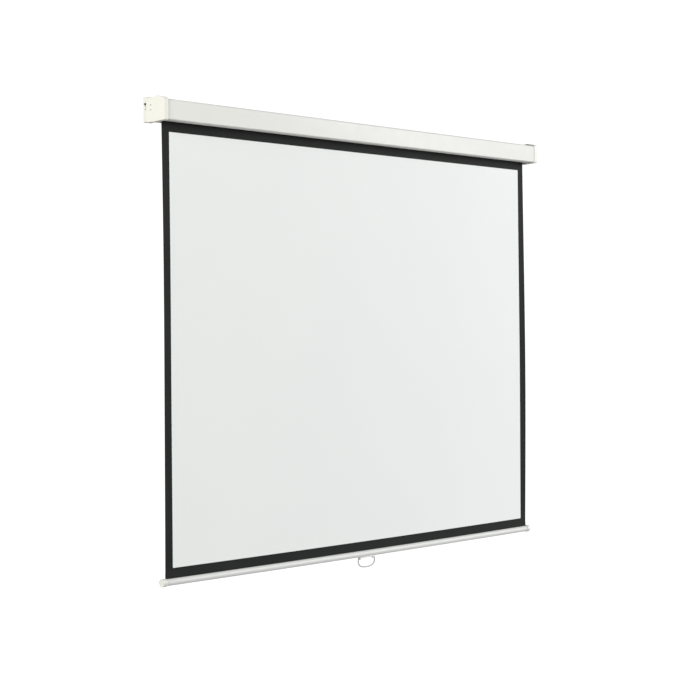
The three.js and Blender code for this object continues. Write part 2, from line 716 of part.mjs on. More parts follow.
function handleScrew(side) {
  const x = side * HANDLE_SCREW_X;
  const seat = HANDLE_BASE_BOTTOM - GAP;
  return join(
    rodZ(HANDLE_SCREW_RADIUS, seat - HANDLE_SCREW_HEAD_HEIGHT, -BAR_RADIUS - GAP, x, 0, 12),
    rodZ(HANDLE_SCREW_HEAD_RADIUS, seat - HANDLE_SCREW_HEAD_HEIGHT, seat, x, 0, 16),
  );
}

// A wire bail: its ends turn inwards through the lugs, and its bottom is one wide bow
function pullHandle() {
  const half = HANDLE_HALF_WIDTH;
  const pin = LUG_HALF_GAP + 1;
  const tight = 4;
  const bottom = -HANDLE_DROP;
  const bowTop = bottom + HANDLE_BOW_HEIGHT;
  const outline = new THREE.CurvePath();
  const at = (x, z) => new THREE.Vector3(x, 0, z);
  const line = (from, to) => outline.add(new THREE.LineCurve3(from, to));
  const bend = (from, middle, to) => outline.add(new THREE.QuadraticBezierCurve3(from, middle, to));
  line(at(-pin, 0), at(-half + tight, 0));
  bend(at(-half + tight, 0), at(-half, 0), at(-half, -tight));
  line(at(-half, -tight), at(-half, bowTop));
  bend(at(-half, bowTop), at(-half, bottom), at(0, bottom));
  bend(at(0, bottom), at(half, bottom), at(half, bowTop));
  line(at(half, bowTop), at(half, -tight));
  bend(at(half, -tight), at(half, 0), at(half - tight, 0));
  line(at(half - tight, 0), at(pin, 0));
  return new THREE.ExtrudeGeometry(circleShape(HANDLE_WIRE_RADIUS, 10), {
    extrudePath: outline,
    steps: 64,
    bevelEnabled: false,
  });
}

function buildBar(root) {
  const bar = new THREE.Group();
  bar.position.set(0, FABRIC_Y, BAR_Z);
  root.add(bar);
  piece('bottom_bar', slottedBar(), whitePaint, bar);
  pair('bar_plug', barPlug(), whitePlastic, bar);
  piece('hem_band', hemBand(), blackCloth, bar);
  const spline = rodX(SPLINE_RADIUS, -FABRIC_HALF_WIDTH, FABRIC_HALF_WIDTH, 0, HEM_FOLD_Z, 12);
  piece('spline_rod', spline, greyPlastic, bar);
  piece('handle_base', handleBase(), whitePlastic, bar);
  piece('handle_screw_left', handleScrew(-1), platedSteel, bar);
  piece('handle_screw_right', handleScrew(1), platedSteel, bar);

  const handle = new THREE.Group();
  handle.position.set(0, 0, HANDLE_PIVOT_Z);
  bar.add(handle);
  piece('pull_handle', pullHandle(), whitePaint, handle);
}

const screen = new THREE.Group();
buildCase(screen);
buildRoller(screen);
buildFabric(screen);
buildBar(screen);

export default screen;
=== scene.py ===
"""A pull-down projection screen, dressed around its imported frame.

Metres, +Z up. X runs along the screen, the wall is the plane y = 0 and the screen faces -Y.
"""

import json
import math

import bmesh
import bpy
from mathutils import Matrix, Vector


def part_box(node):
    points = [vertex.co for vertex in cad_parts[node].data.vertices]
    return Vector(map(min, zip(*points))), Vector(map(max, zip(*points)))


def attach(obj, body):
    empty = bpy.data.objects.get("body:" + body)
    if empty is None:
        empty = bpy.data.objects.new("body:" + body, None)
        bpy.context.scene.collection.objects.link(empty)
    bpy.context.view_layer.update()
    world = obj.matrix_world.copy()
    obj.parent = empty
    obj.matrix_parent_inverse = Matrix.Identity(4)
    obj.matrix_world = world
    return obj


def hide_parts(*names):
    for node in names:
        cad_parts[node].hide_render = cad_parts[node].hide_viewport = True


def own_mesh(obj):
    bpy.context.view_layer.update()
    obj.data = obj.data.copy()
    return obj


MM = 0.001

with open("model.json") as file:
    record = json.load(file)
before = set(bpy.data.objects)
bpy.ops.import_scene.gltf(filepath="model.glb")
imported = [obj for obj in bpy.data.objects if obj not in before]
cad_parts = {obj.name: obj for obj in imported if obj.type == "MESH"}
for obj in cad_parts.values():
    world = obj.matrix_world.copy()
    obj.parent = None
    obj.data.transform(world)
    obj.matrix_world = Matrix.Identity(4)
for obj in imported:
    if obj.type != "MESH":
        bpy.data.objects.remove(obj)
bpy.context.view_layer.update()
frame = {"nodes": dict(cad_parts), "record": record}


# Sizes and places, read from the frame where it has them


def low(node, axis):
    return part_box(node)[0]["xyz".index(axis)]


def high(node, axis):
    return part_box(node)[1]["xyz".index(axis)]


def middle(node, axis):
    return (low(node, axis) + high(node, axis)) / 2


PEAK_Y = -63.4 * MM
CASE_WALL = 1.0 * MM
CASE_EDGE = 0.25 * MM
CASE_END_X = high("case_shell", "x")
CASE_FRONT_Y = low("case_shell", "y")
CASE_REAR_Y = high("case_shell", "y")
CASE_REAR_BOTTOM = low("case_shell", "z")
CASE_PEAK = 32.8 * MM
CASE_FRONT_TOP = 26.3 * MM
CASE_REAR_TOP = 28.5 * MM
CASE_FRONT_BOTTOM = -32 * MM
CASE_BEND = (-74 * MM, -32.2 * MM)
SLOT_FRONT = (-60 * MM, -32.9 * MM)
SLOT_REAR_Y = -38 * MM
SLOT_LIP = 6 * MM

CAP_OUTER_X = high("right_end_cap", "x")
CAP_INNER_X = low("right_end_cap", "x")
CAP_FRONT_Y = low("right_end_cap", "y")
CAP_REAR_Y = high("right_end_cap", "y")
CAP_BOTTOM = low("right_end_cap", "z")
CAP_FRONT_BOTTOM = -35 * MM
CAP_FRONT_TOP = 30.4 * MM
CAP_PEAK = 38.2 * MM
CAP_REAR_TOP = 33 * MM
CAP_WALL = 2.2 * MM
CAP_END_WALL = 3 * MM
CAP_EDGE = 2.2 * MM
CAP_LIP = 0.25 * MM
CAP_RIM_EDGE = 1.5 * MM
CAP_UNDER_BEND = (-73 * MM, -35.8 * MM)
CAP_UNDER_FLAT_Y = -51 * MM

HANGER_OUTER_X = low("left_hanger", "x")
HANGER_INNER_X = high("left_hanger", "x")
HANGER_FRONT_Y = low("left_hanger", "y")
HANGER_TOP = high("left_hanger", "z")
HANGER_BOTTOM = low("left_hanger", "z")
HANGER_SHEET = 1.8 * MM
HANGER_BEND = 2.6 * MM
HANGER_INNER_BEND = 0.9 * MM
HANGER_SHELF_BEND = 4 * MM
HANGER_EDGE = 0.2 * MM
HANGER_LIP_X = -890 * MM

# A keyhole has a head radius and a slot half width. Its Z is its head's middle and its slot's end,
# the lower one first.
WALL_KEYHOLE_X = -890 * MM
WALL_KEYHOLE_Z = (-4 * MM, 8 * MM)
WALL_KEYHOLE_HEAD = 4.5 * MM
WALL_KEYHOLE_SLOT = 2.3 * MM
SIDE_KEYHOLE_Y = -10.3 * MM
SIDE_KEYHOLE_Z = (7.5 * MM, 18 * MM)
SIDE_KEYHOLE_HEAD = 3.6 * MM
SIDE_KEYHOLE_ENDS = (-11.1 * MM, -8.3 * MM)
SIDE_KEYHOLE_SLOT = 1.6 * MM
SIDE_HOLE_Z = 2.7 * MM
SIDE_HOLE_RADIUS = 2.2 * MM
CEILING_HOLE = (-894 * MM, -8.5 * MM)
CEILING_HOLE_RADIUS = 3 * MM

AXLE_Y = middle("roller_tube", "y")
AXLE_Z = middle("roller_tube", "z")
ROLLER_RADIUS = high("roller_tube", "z") - AXLE_Z
SPRING_FROM_X = low("torsion_spring", "x")
SPRING_TO_X = high("torsion_spring", "x")
SPRING_WIRE = 0.9 * MM
SPRING_RADIUS = high("torsion_spring", "z") - AXLE_Z - SPRING_WIRE
SPRING_TURNS = 96
SPRING_STEPS_PER_TURN = 20

# The spring's wire is drawn slightly thin, to stay inside the solid's outline
SPRING_WIRE_SHARE = 0.95

# The cloth left on the roller, in layers thin enough to lie between the roller and the sheet
WOUND_TURNS = 2.0
WOUND_STEPS = 160
WOUND_GAP = 0.15 * MM
WOUND_LAYER = 0.36 * MM

CLOTH_HALF = high("backing_sheet", "x")
CLOTH_Y = low("backing_sheet", "y")
CLOTH_TOP = high("backing_sheet", "z")
CLOTH_THICKNESS = 0.5 * MM
PICTURE_HALF = high("white_surface", "x")
PICTURE_TOP = high("white_surface", "z")
PICTURE_BOTTOM = low("white_surface", "z")

# Faces across each side border and the picture, and down the top border and the picture
SIDE_COLUMNS = 4
PICTURE_COLUMNS = 80
TOP_ROWS = 6
PICTURE_ROWS = 72

# The cloth's slow wave: depth, radians per metre and phase across, half waves down, and their slant
CLOTH_WAVE = 0.6 * MM
WAVE_ACROSS = 2.1
WAVE_START = 0.6
WAVE_DOWN = 2.3
WAVE_SLANT = 0.5

# A free side's curl: how far forwards, and a power that sets how far down it is fullest.
# The narrowness is the power by which the curl dies away from the side.
LEFT_CURL = (4.6 * MM, 0.85)
RIGHT_CURL = (6 * MM, 1.2)
CURL_NARROWNESS = 36

BAR_RADIUS = (high("bottom_bar", "y") - low("bottom_bar", "y")) / 2
BAR_WALL = 1.2 * MM
BAR_Z = low("bottom_bar", "z") + BAR_RADIUS
BAR_END_X = high("bottom_bar", "x")
BAR_SLOT_HALF = 1.5 * MM
BAR_BOW = 2.4 * MM
BAR_EDGE = 0.25 * MM
SPLINE_Z = middle("spline_rod", "z")
SPLINE_RADIUS = high("spline_rod", "z") - SPLINE_Z
PLUG_OUTER_X = high("right_bar_plug", "x")
PLUG_INNER_X = low("right_bar_plug", "x")
PLUG_RADIUS = high("right_bar_plug", "z") - BAR_Z
PLUG_EDGE = 1.2 * MM
PLUG_GROOVE_FROM_END = 6.4 * MM
PLUG_GROOVE_HALF = 1.5 * MM
PLUG_GROOVE_DEPTH = 0.9 * MM
PLUG_RIM = 2.4 * MM
PLUG_DISH_DEPTH = 0.8 * MM
PLUG_CENTRE = 0.6 * MM
FIT_GAP = 0.3 * MM

# The hem: half its neck and the neck's foot above the rod, in loop radii; how far its weld is above
# the bar and how soon its layers part below it; and where its loop starts, in degrees
HEM_NECK_HALF = 0.55 * MM
HEM_NECK_REACH = 2.2
HEM_WELD_HEIGHT = 16 * MM
HEM_PARTING = 3 * MM
HEM_LOOP_START = 125
HEM_LOOP_STEPS = 32

BASE_HALF_LENGTH = high("handle_base", "x")
BASE_HALF_DEPTH = high("handle_base", "y") - CLOTH_Y
BASE_BOTTOM = BAR_Z - BAR_RADIUS - 3 * MM
BASE_BEND = 1.2 * MM
BASE_EDGE = 0.3 * MM
LUG_INNER_X = 30 * MM
LUG_HALF_DEPTH = 3.9 * MM
LUG_BEND = 3 * MM
LUG_BELOW_SEAT = 0.9 * MM

# How far the handle's ends stop short of the lugs' inner faces, and its holes pass them
LUG_MARGIN = 1 * MM

HANDLE_WIRE = 2.2 * MM
HANDLE_PIVOT_Z = high("pull_handle", "z") - HANDLE_WIRE
HANDLE_HALF_WIDTH = high("pull_handle", "x") - HANDLE_WIRE
HANDLE_BOTTOM = low("pull_handle", "z") + HANDLE_WIRE
HANDLE_BOW = 19.5 * MM
HANDLE_SHOULDER = 4 * MM

# The length of a screw's cross recess, as a multiple of its head's radius
RECESS_SPAN = 1.15

# How finely bends, round shapes and the length of the bar are stepped
CORNER_STEPS = 8
HANDLE_BOW_STEPS = 24
SEAT_STEPS = 12
ROUND_SIDES = 64
HOLE_SIDES = 40
BAR_SIDES = 72
FLOOR_SIDES = 96
BAR_STEPS = 28

# Edges sharper than this, in degrees, stay sharp
SMOOTH_ANGLE = 40

# Patterns in the finishes: how far it is from one patch to the next, or how many are in a metre
PAINT_TONE_PATCH = 220 * MM
PAINT_GLOSS_PATCH = 30 * MM
MOULDED_TONE_PATCH = 90 * MM
MOULDED_GLOSS_PATCH = 12 * MM
ZINC_CRYSTALS_PER_METRE = 260
DRAWN_LINES_PER_METRE = (30.0, 900.0, 900.0)
WHITE_DRIFT_PATCH = 500 * MM
WHITE_PEBBLE = 0.9 * MM
BLACK_DRIFT_PATCH = 180 * MM
BLACK_THREAD = 0.8 * MM


# Materials


def add(tree, kind, inputs=None, **settings):
    """A node with its settings, whose inputs are values or other nodes' outputs."""
    node = tree.nodes.new(kind)
    for key, value in settings.items():
        setattr(node, key, value)
    for key, value in (inputs or {}).items():
        if isinstance(value, bpy.types.NodeSocket):
            tree.links.new(value, node.inputs[key])
        else:
            node.inputs[key].default_value = value
    return node


def begin_finish(name, roughness, **sockets):
    """A material with only its surface shader, whose constant sockets are set directly."""
    material = bpy.data.materials.new(name)
    material.use_nodes = True
    tree = material.node_tree
    shader = tree.nodes["Principled BSDF"]
    shader.inputs["Roughness"].default_value = roughness
    for key, value in sockets.items():
        shader.inputs[key.replace("_", " ")].default_value = value
    return material, tree, shader


def object_place(tree):
    return add(tree, "ShaderNodeTexCoord").outputs["Object"]


def sheet_place(tree):
    return add(tree, "ShaderNodeUVMap", uv_map="cloth").outputs["UV"]


def noise(tree, where, size, detail=3.0):
    """Soft noise whose lumps are about `size` metres across."""
    inputs = {"Vector": where, "Scale": 1 / size, "Detail": detail}
    return add(tree, "ShaderNodeTexNoise", inputs).outputs["Fac"]


def multiply(tree, first, second):
    return add(tree, "ShaderNodeMath", {0: first, 1: second}, operation="MULTIPLY").outputs["Value"]


def blend_colours(tree, share, first, second):
    """A colour between two. The Mix node's colour sockets share their names, so they go by number."""
    inputs = {0: share, 6: (*first, 1), 7: (*second, 1)}
    return add(tree, "ShaderNodeMix", inputs, data_type="RGBA").outputs[2]


def spread_values(tree, value, start=0.0, end=1.0):
    """Noise, which keeps near its middle, stretched to run from start to end."""
    inputs = {"Value": value, "From Min": 0.3, "From Max": 0.7, "To Min": start, "To Max": end}
    return add(tree, "ShaderNodeMapRange", inputs).outputs["Result"]


def set_tone(tree, shader, share, light, dark):
    tree.links.new(blend_colours(tree, share, light, dark), shader.inputs["Base Color"])


def set_gloss(tree, shader, value, roughness, less, more):
    """Lets the roughness wander below and above its value."""
    gloss = spread_values(tree, value, roughness - less, roughness + more)
    tree.links.new(gloss, shader.inputs["Roughness"])


def raise_surface(tree, shader, height, depth, strength=1.0):
    inputs = {"Height": height, "Distance": depth, "Strength": strength}
    tree.links.new(add(tree, "ShaderNodeBump", inputs).outputs["Normal"], shader.inputs["Normal"])


def paint_finish(name, light, dark, roughness, peel):
    """Powder coat or paint: a faint drift in tone, uneven gloss and an orange-peel skin."""
    material, tree, shader = begin_finish(name, roughness, Coat_Weight=0.08, Coat_Roughness=0.3)
    where = object_place(tree)
    set_tone(tree, shader, noise(tree, where, PAINT_TONE_PATCH), light, dark)
    patches = noise(tree, where, PAINT_GLOSS_PATCH)
    set_gloss(tree, shader, patches, roughness, less=0.05, more=0.06)
    raise_surface(tree, shader, noise(tree, where, peel, detail=2.0), depth=peel * 0.03)
    return material


def moulded_finish(name, light, dark, roughness, grain):
    """Moulded plastic: an even body colour with fine spark-eroded grain."""
    material, tree, shader = begin_finish(name, roughness)
    where = object_place(tree)
    set_tone(tree, shader, noise(tree, where, MOULDED_TONE_PATCH), light, dark)
    patches = noise(tree, where, MOULDED_GLOSS_PATCH)
    set_gloss(tree, shader, patches, roughness, less=0.04, more=0.05)
    raise_surface(tree, shader, noise(tree, where, grain, detail=4.0), depth=grain * 0.05)
    return material


def plated_finish(name, light, dark, roughness):
    """Zinc plate: crystals of slightly different brightness under fine drawing lines."""
    material, tree, shader = begin_finish(name, roughness, Metallic=1.0)
    where = object_place(tree)
    sizes = {"Vector": where, "Scale": ZINC_CRYSTALS_PER_METRE}
    crystals = add(tree, "ShaderNodeTexVoronoi", sizes)
    set_tone(tree, shader, crystals.outputs["Color"], light, dark)
    drawn = add(tree, "ShaderNodeMapping", {"Vector": where, "Scale": DRAWN_LINES_PER_METRE})
    lines = noise(tree, drawn.outputs["Vector"], 1.0, detail=2.0)
    set_gloss(tree, shader, lines, roughness, less=0.08, more=0.1)
    raise_surface(tree, shader, lines, depth=0.01 * MM)
    return material


def white_cloth_finish(name):
    """The picture surface: matt white with a fine pebbled emboss and a slow drift in tone."""
    material, tree, shader = begin_finish(name, roughness=0.82, Specular_IOR_Level=0.3)
    where = sheet_place(tree)
    drift = spread_values(tree, noise(tree, where, WHITE_DRIFT_PATCH, detail=2.0))
    set_tone(tree, shader, drift, (0.875, 0.895, 0.885), (0.895, 0.91, 0.903))
    sizes = {"Vector": where, "Scale": 1 / WHITE_PEBBLE}
    pebbles = add(tree, "ShaderNodeTexVoronoi", sizes, feature="SMOOTH_F1")
    raise_surface(tree, shader, pebbles.outputs["Distance"], depth=0.03 * MM, strength=0.6)
    return material


def black_cloth_finish(name):
    """The masking border and the back: black coated cloth whose plain weave shows through."""
    material, tree, shader = begin_finish(name, roughness=0.7, Specular_IOR_Level=0.18)
    where = sheet_place(tree)
    sizes = {"Vector": where, "Scale": 1 / (BLACK_THREAD * math.tau), "Distortion": 0.4}
    warp, weft = [
        add(tree, "ShaderNodeTexWave", sizes, bands_direction=direction).outputs["Fac"]
        for direction in "XY"
    ]
    drift = spread_values(tree, noise(tree, where, BLACK_DRIFT_PATCH))
    set_tone(tree, shader, drift, (0.0075, 0.009, 0.008), (0.0115, 0.013, 0.012))
    raise_surface(tree, shader, multiply(tree, warp, weft), depth=0.08 * MM, strength=0.7)
    return material


# Each finish has two tones that it drifts between and a roughness. Paints and plastics have the size
# of their skin's bumps after these.
PAINTS = {
    "case_paint": ((0.815, 0.815, 0.78), (0.79, 0.79, 0.76), 0.55, 1.3 * MM),
    "hanger_paint": ((0.82, 0.82, 0.77), (0.79, 0.79, 0.745), 0.45, 1.1 * MM),
    "bar_paint": ((0.77, 0.775, 0.76), (0.745, 0.75, 0.735), 0.45, 1.6 * MM),
    "handle_paint": ((0.53, 0.53, 0.515), (0.5, 0.5, 0.485), 0.35, 0.9 * MM),
}
PLASTICS = {
    "cap_plastic": ((0.86, 0.85, 0.785), (0.835, 0.825, 0.765), 0.5, 0.5 * MM),
    "plug_plastic": ((0.84, 0.845, 0.8), (0.815, 0.82, 0.78), 0.35, 0.6 * MM),
    "grey_plastic": ((0.24, 0.25, 0.25), (0.2, 0.21, 0.21), 0.5, 0.6 * MM),
}
STEELS = {
    "plated_steel": ((0.72, 0.73, 0.74), (0.58, 0.59, 0.6), 0.34),
    "spring_steel": ((0.3, 0.31, 0.33), (0.22, 0.23, 0.25), 0.38),
}

MATERIALS = {
    "black_fabric": black_cloth_finish("black_fabric"),
    "white_fabric": white_cloth_finish("white_fabric"),
}
for finish, looks in ((paint_finish, PAINTS), (moulded_finish, PLASTICS), (plated_finish, STEELS)):
    for name, look in looks.items():
        MATERIALS[name] = finish(name, *look)


# Outlines


def bend(start, corner, end, steps=CORNER_STEPS):
    """Points along a smooth bend from start to end that would meet at a corner."""
    shares = [step / steps for step in range(steps + 1)]
    return [start.lerp(corner, t).lerp(corner.lerp(end, t), t) for t in shares]


def rounded(corners, closed=True):
    """Points along an outline of corners (u, v, radius), each corner rounded."""
    points = []
    last = len(corners) - 1
    for i, (u, v, radius) in enumerate(corners):
        corner = Vector((u, v))
        if radius == 0 or (not closed and i in (0, last)):
            points.append(corner)
            continue
        before = Vector(corners[i - 1][:2]) - corner
        after = Vector(corners[(i + 1) % len(corners)][:2]) - corner
        start = corner + before.normalized() * radius
        end = corner + after.normalized() * radius
        points += bend(start, corner, end)
    return points


def inset(corners, distance):
    """Corners of an anticlockwise outline, with every side moved inwards and the bends tighter."""
    shifted = []
    for i, (u, v, radius) in enumerate(corners):
        corner = Vector((u, v))
        back = (corner - Vector(corners[i - 1][:2])).normalized()
        ahead = (Vector(corners[(i + 1) % len(corners)][:2]) - corner).normalized()
        normals = (Vector((-back.y, back.x)), Vector((-ahead.y, ahead.x)))
        shift = (normals[0] + normals[1]) * (distance / (1 + normals[0].dot(normals[1])))
        shifted.append((u + shift.x, v + shift.y, max(radius - distance / 2, radius / 3)))
    return shifted


def on_circle(radius, turn):
    return Vector((radius * math.cos(turn), radius * math.sin(turn)))


def circle(radius, sides=ROUND_SIDES):
    return [on_circle(radius, math.tau * i / sides) for i in range(sides)]


def spaced(start, end, count):
    """Even steps from start that stop one short of end."""
    return [start + (end - start) * i / count for i in range(count)]


def across_x(points, x, y=0.0, z=0.0):
    return [Vector((x, y + p[0], z + p[1])) for p in points]


def across_z(points, z):
    return [Vector((p[0], p[1], z)) for p in points]


def thick_line(points, thickness):
    """The closed outline of a line drawn with a thickness."""
    left, right = [], []
    for i, point in enumerate(points):
        before = points[max(i - 1, 0)]
        after = points[min(i + 1, len(points) - 1)]
        along = (after - before).normalized()
        side = Vector((-along.y, along.x)) * thickness / 2
        left.append(point + side)
        right.append(point - side)
    return left + right[::-1]


# Meshes


def new_object(name, data):
    """A plain object at the origin, in the scene."""
    made = bpy.data.objects.new(name, data)
    bpy.context.scene.collection.objects.link(made)
    return made


def to_object(name, mesh):
    data = bpy.data.meshes.new(name)
    mesh.to_mesh(data)
    mesh.free()
    return new_object(name, data)


def loft(name, rings):
    """A closed surface over rings of points, with its ends filled."""
    mesh = bmesh.new()
    rows = [[mesh.verts.new(point) for point in ring] for ring in rings]
    for near, far in zip(rows, rows[1:]):
        for i in range(len(near)):
            j = (i + 1) % len(near)
            mesh.faces.new((near[i], near[j], far[j], far[i]))
    mesh.faces.new(rows[0][::-1])
    mesh.faces.new(rows[-1])
    bmesh.ops.recalc_face_normals(mesh, faces=mesh.faces)
    return to_object(name, mesh)


def box_cutter(lows, highs):
    corners = [(lows[0], lows[1]), (highs[0], lows[1]), (highs[0], highs[1]), (lows[0], highs[1])]
    return loft("cut", [across_z(corners, lows[2]), across_z(corners, highs[2])])


def hole_cutter(axis, radius, start, end, place):
    """A round cutter along one axis; place is its middle on the other two axes, in order."""
    rings = []
    for along in (start, end):
        ring = []
        for p in circle(radius, HOLE_SIDES):
            values = [place[0] + p[0], place[1] + p[1]]
            values.insert("xyz".index(axis), along)
            ring.append(Vector(values))
        rings.append(ring)
    return loft("cut", rings)


def final_mesh(made):
    """The object's mesh with its modifiers applied."""
    depsgraph = bpy.context.evaluated_depsgraph_get()
    return bpy.data.meshes.new_from_object(made.evaluated_get(depsgraph))


def settle(made):
    """Applies what modifiers an object has."""
    mesh = final_mesh(made)
    made.modifiers.clear()
    made.data = mesh


def shade(made, angle=SMOOTH_ANGLE):
    """Shades a piece smooth, apart from edges sharper than an angle in degrees."""
    made.data.shade_smooth()
    made.data.set_sharp_from_angle(angle=math.radians(angle))


def combine(made, others, operation):
    """Joins solids to an object, or cuts them from it."""
    for other in others:
        modifier = made.modifiers.new("combine", "BOOLEAN")
        modifier.operation = operation
        modifier.solver = "EXACT"
        modifier.object = other
    settle(made)
    for other in others:
        bpy.data.objects.remove(other)


def soften(made, width, angle):
    """Breaks edges sharper than an angle in degrees, and shades the rest smooth."""
    modifier = made.modifiers.new("soften", "BEVEL")
    modifier.width = width
    modifier.segments = 2
    modifier.limit_method = "ANGLE"
    modifier.angle_limit = math.radians(angle)
    modifier.use_clamp_overlap = True
    settle(made)
    shade(made, angle)
    return made


def bow_rise(x):
    """How much higher the bar hangs at x than at its middle."""
    return BAR_BOW * (x / BAR_END_X) ** 2


def bowed(made):
    """Bends a piece upwards at its ends, with the bar."""
    for vertex in made.data.vertices:
        vertex.co.z += bow_rise(vertex.co.x)
    return made


def mirrored(made, name):
    """The same piece at the other end of the screen."""
    copy = new_object(name, made.data.copy())
    copy.data.transform(Matrix.Scale(-1, 4, (1, 0, 0)))
    copy.data.flip_normals()
    return copy


def dress(made, material, body, *nodes):
    """Gives a finished piece one material, its body and the nodes that it stands for."""
    made.data.materials.clear()
    made.data.materials.append(MATERIALS[material])
    place_piece(made, material, body, *nodes)


def place_piece(made, material, body, *nodes):
    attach(made, body)
    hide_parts(*nodes)


# The case and its ends

# Corners of the folded sheet as (y, z, bend), round its inside from the slot and back outside
CASE_CORNERS = [
    (*SLOT_FRONT, 1.5 * MM),
    (SLOT_FRONT[0], SLOT_FRONT[1] + SLOT_LIP, 0),
    (SLOT_FRONT[0] - CASE_WALL, SLOT_FRONT[1] + SLOT_LIP, 0),
    (SLOT_FRONT[0] - CASE_WALL, SLOT_FRONT[1] + CASE_WALL, 0.5 * MM),
    (CASE_BEND[0], CASE_BEND[1] + CASE_WALL, 1 * MM),
    (CASE_FRONT_Y + CASE_WALL, CASE_FRONT_BOTTOM + CASE_WALL, 2 * MM),
    (CASE_FRONT_Y + CASE_WALL, CASE_FRONT_TOP - CASE_WALL, 4 * MM),
    (PEAK_Y, CASE_PEAK - CASE_WALL, 8 * MM),
    (CASE_REAR_Y - CASE_WALL, CASE_REAR_TOP - CASE_WALL, 2 * MM),
    (CASE_REAR_Y - CASE_WALL, CASE_REAR_BOTTOM + CASE_WALL, 1 * MM),
    (SLOT_REAR_Y + CASE_WALL, CASE_REAR_BOTTOM + CASE_WALL, 0.5 * MM),
    (SLOT_REAR_Y + CASE_WALL, CASE_REAR_BOTTOM + SLOT_LIP, 0),
    (SLOT_REAR_Y, CASE_REAR_BOTTOM + SLOT_LIP, 0),
    (SLOT_REAR_Y, CASE_REAR_BOTTOM, 1.5 * MM),
    (CASE_REAR_Y, CASE_REAR_BOTTOM, 2 * MM),
    (CASE_REAR_Y, CASE_REAR_TOP, 3 * MM),
    (PEAK_Y, CASE_PEAK, 9 * MM),
    (CASE_FRONT_Y, CASE_FRONT_TOP, 5 * MM),
    (CASE_FRONT_Y, CASE_FRONT_BOTTOM, 3 * MM),
    (*CASE_BEND, 2 * MM),
]

# Corners of the end caps as (y, z, bend), from the front edge along the underside
CAP_CORNERS = [
    (CAP_FRONT_Y, CAP_FRONT_BOTTOM, 5 * MM),
    (*CAP_UNDER_BEND, 6 * MM),
    (CAP_UNDER_FLAT_Y, CAP_BOTTOM, 6 * MM),
    (CAP_REAR_Y, CAP_BOTTOM, 3 * MM),
    (CAP_REAR_Y, CAP_REAR_TOP, 3.5 * MM),
    (PEAK_Y, CAP_PEAK, 4 * MM),
    (CAP_FRONT_Y, CAP_FRONT_TOP, 5.5 * MM),
]


def make_case():
    """The folded sheet that runs from cap to cap, open along the slot for the cloth."""
    section = rounded(CASE_CORNERS)
    sheet = loft("case_sheet", [across_x(section, x) for x in (-CASE_END_X, CASE_END_X)])
    dress(soften(sheet, CASE_EDGE, angle=50), "case_paint", "case", "case_shell")


def cap_profile():
    """The left cap from its outer face over the rim to its floor, as (x, inset)."""
    rim_x = -CAP_INNER_X
    floor_x = -CAP_OUTER_X + CAP_END_WALL
    return rounded(
        [
            (-CAP_OUTER_X, 3 * CAP_EDGE, 0),
            (-CAP_OUTER_X, 0, CAP_EDGE),
            (rim_x, 0, CAP_RIM_EDGE),
            (rim_x, CAP_WALL + CAP_LIP, 0.15 * MM),
            (rim_x - CAP_EDGE, CAP_WALL + CAP_LIP, 0.1 * MM),
            (rim_x - CAP_EDGE, CAP_WALL, 0.1 * MM),
            (floor_x, CAP_WALL, 1 * MM),
            (floor_x, 3 * CAP_WALL, 0),
        ],
        closed=False,
    )


def make_end_caps():
    """Moulded covers that slip over the ends of the case."""
    rings = [across_x(rounded(inset(CAP_CORNERS, depth)), x) for x, depth in cap_profile()]
    left = loft("left_cap", rings)
    shade(left)
    right = mirrored(left, "right_cap")
    dress(left, "cap_plastic", "case", "left_end_cap")
    dress(right, "cap_plastic", "case", "right_end_cap")


def wall_keyhole_cutters():
    """The keyhole in the wall side: a round head at its foot, and a slot above it."""
    through = (-2 * HANGER_SHEET, HANGER_SHEET)
    slot = WALL_KEYHOLE_SLOT
    head_z, top_z = WALL_KEYHOLE_Z
    return [
        hole_cutter("y", WALL_KEYHOLE_HEAD, *through, (WALL_KEYHOLE_X, head_z)),
        hole_cutter("y", slot, *through, (WALL_KEYHOLE_X, top_z - slot)),
        box_cutter(
            (WALL_KEYHOLE_X - slot, through[0], head_z),
            (WALL_KEYHOLE_X + slot, through[1], top_z - slot),
        ),
    ]


def side_keyhole_cutters():
    """The keyhole in the outer side, an oval head over a slot, and the small hole under it."""
    through = (HANGER_OUTER_X - HANGER_SHEET, HANGER_OUTER_X + 2 * HANGER_SHEET)
    head = SIDE_KEYHOLE_HEAD
    slot = SIDE_KEYHOLE_SLOT
    foot_z, head_z = SIDE_KEYHOLE_Z
    return [
        *[hole_cutter("x", head, *through, (y, head_z)) for y in SIDE_KEYHOLE_ENDS],
        box_cutter(
            (through[0], SIDE_KEYHOLE_ENDS[0], head_z - head),
            (through[1], SIDE_KEYHOLE_ENDS[1], head_z + head),
        ),
        hole_cutter("x", slot, *through, (SIDE_KEYHOLE_Y, foot_z + slot)),
        box_cutter(
            (through[0], SIDE_KEYHOLE_Y - slot, foot_z + slot),
            (through[1], SIDE_KEYHOLE_Y + slot, head_z),
        ),
        hole_cutter("x", SIDE_HOLE_RADIUS, *through, (SIDE_KEYHOLE_Y, SIDE_HOLE_Z)),
    ]


def ceiling_hole_cutter():
    through = (HANGER_TOP - 2 * HANGER_SHEET, HANGER_TOP + HANGER_SHEET)
    return hole_cutter("z", CEILING_HOLE_RADIUS, *through, CEILING_HOLE)


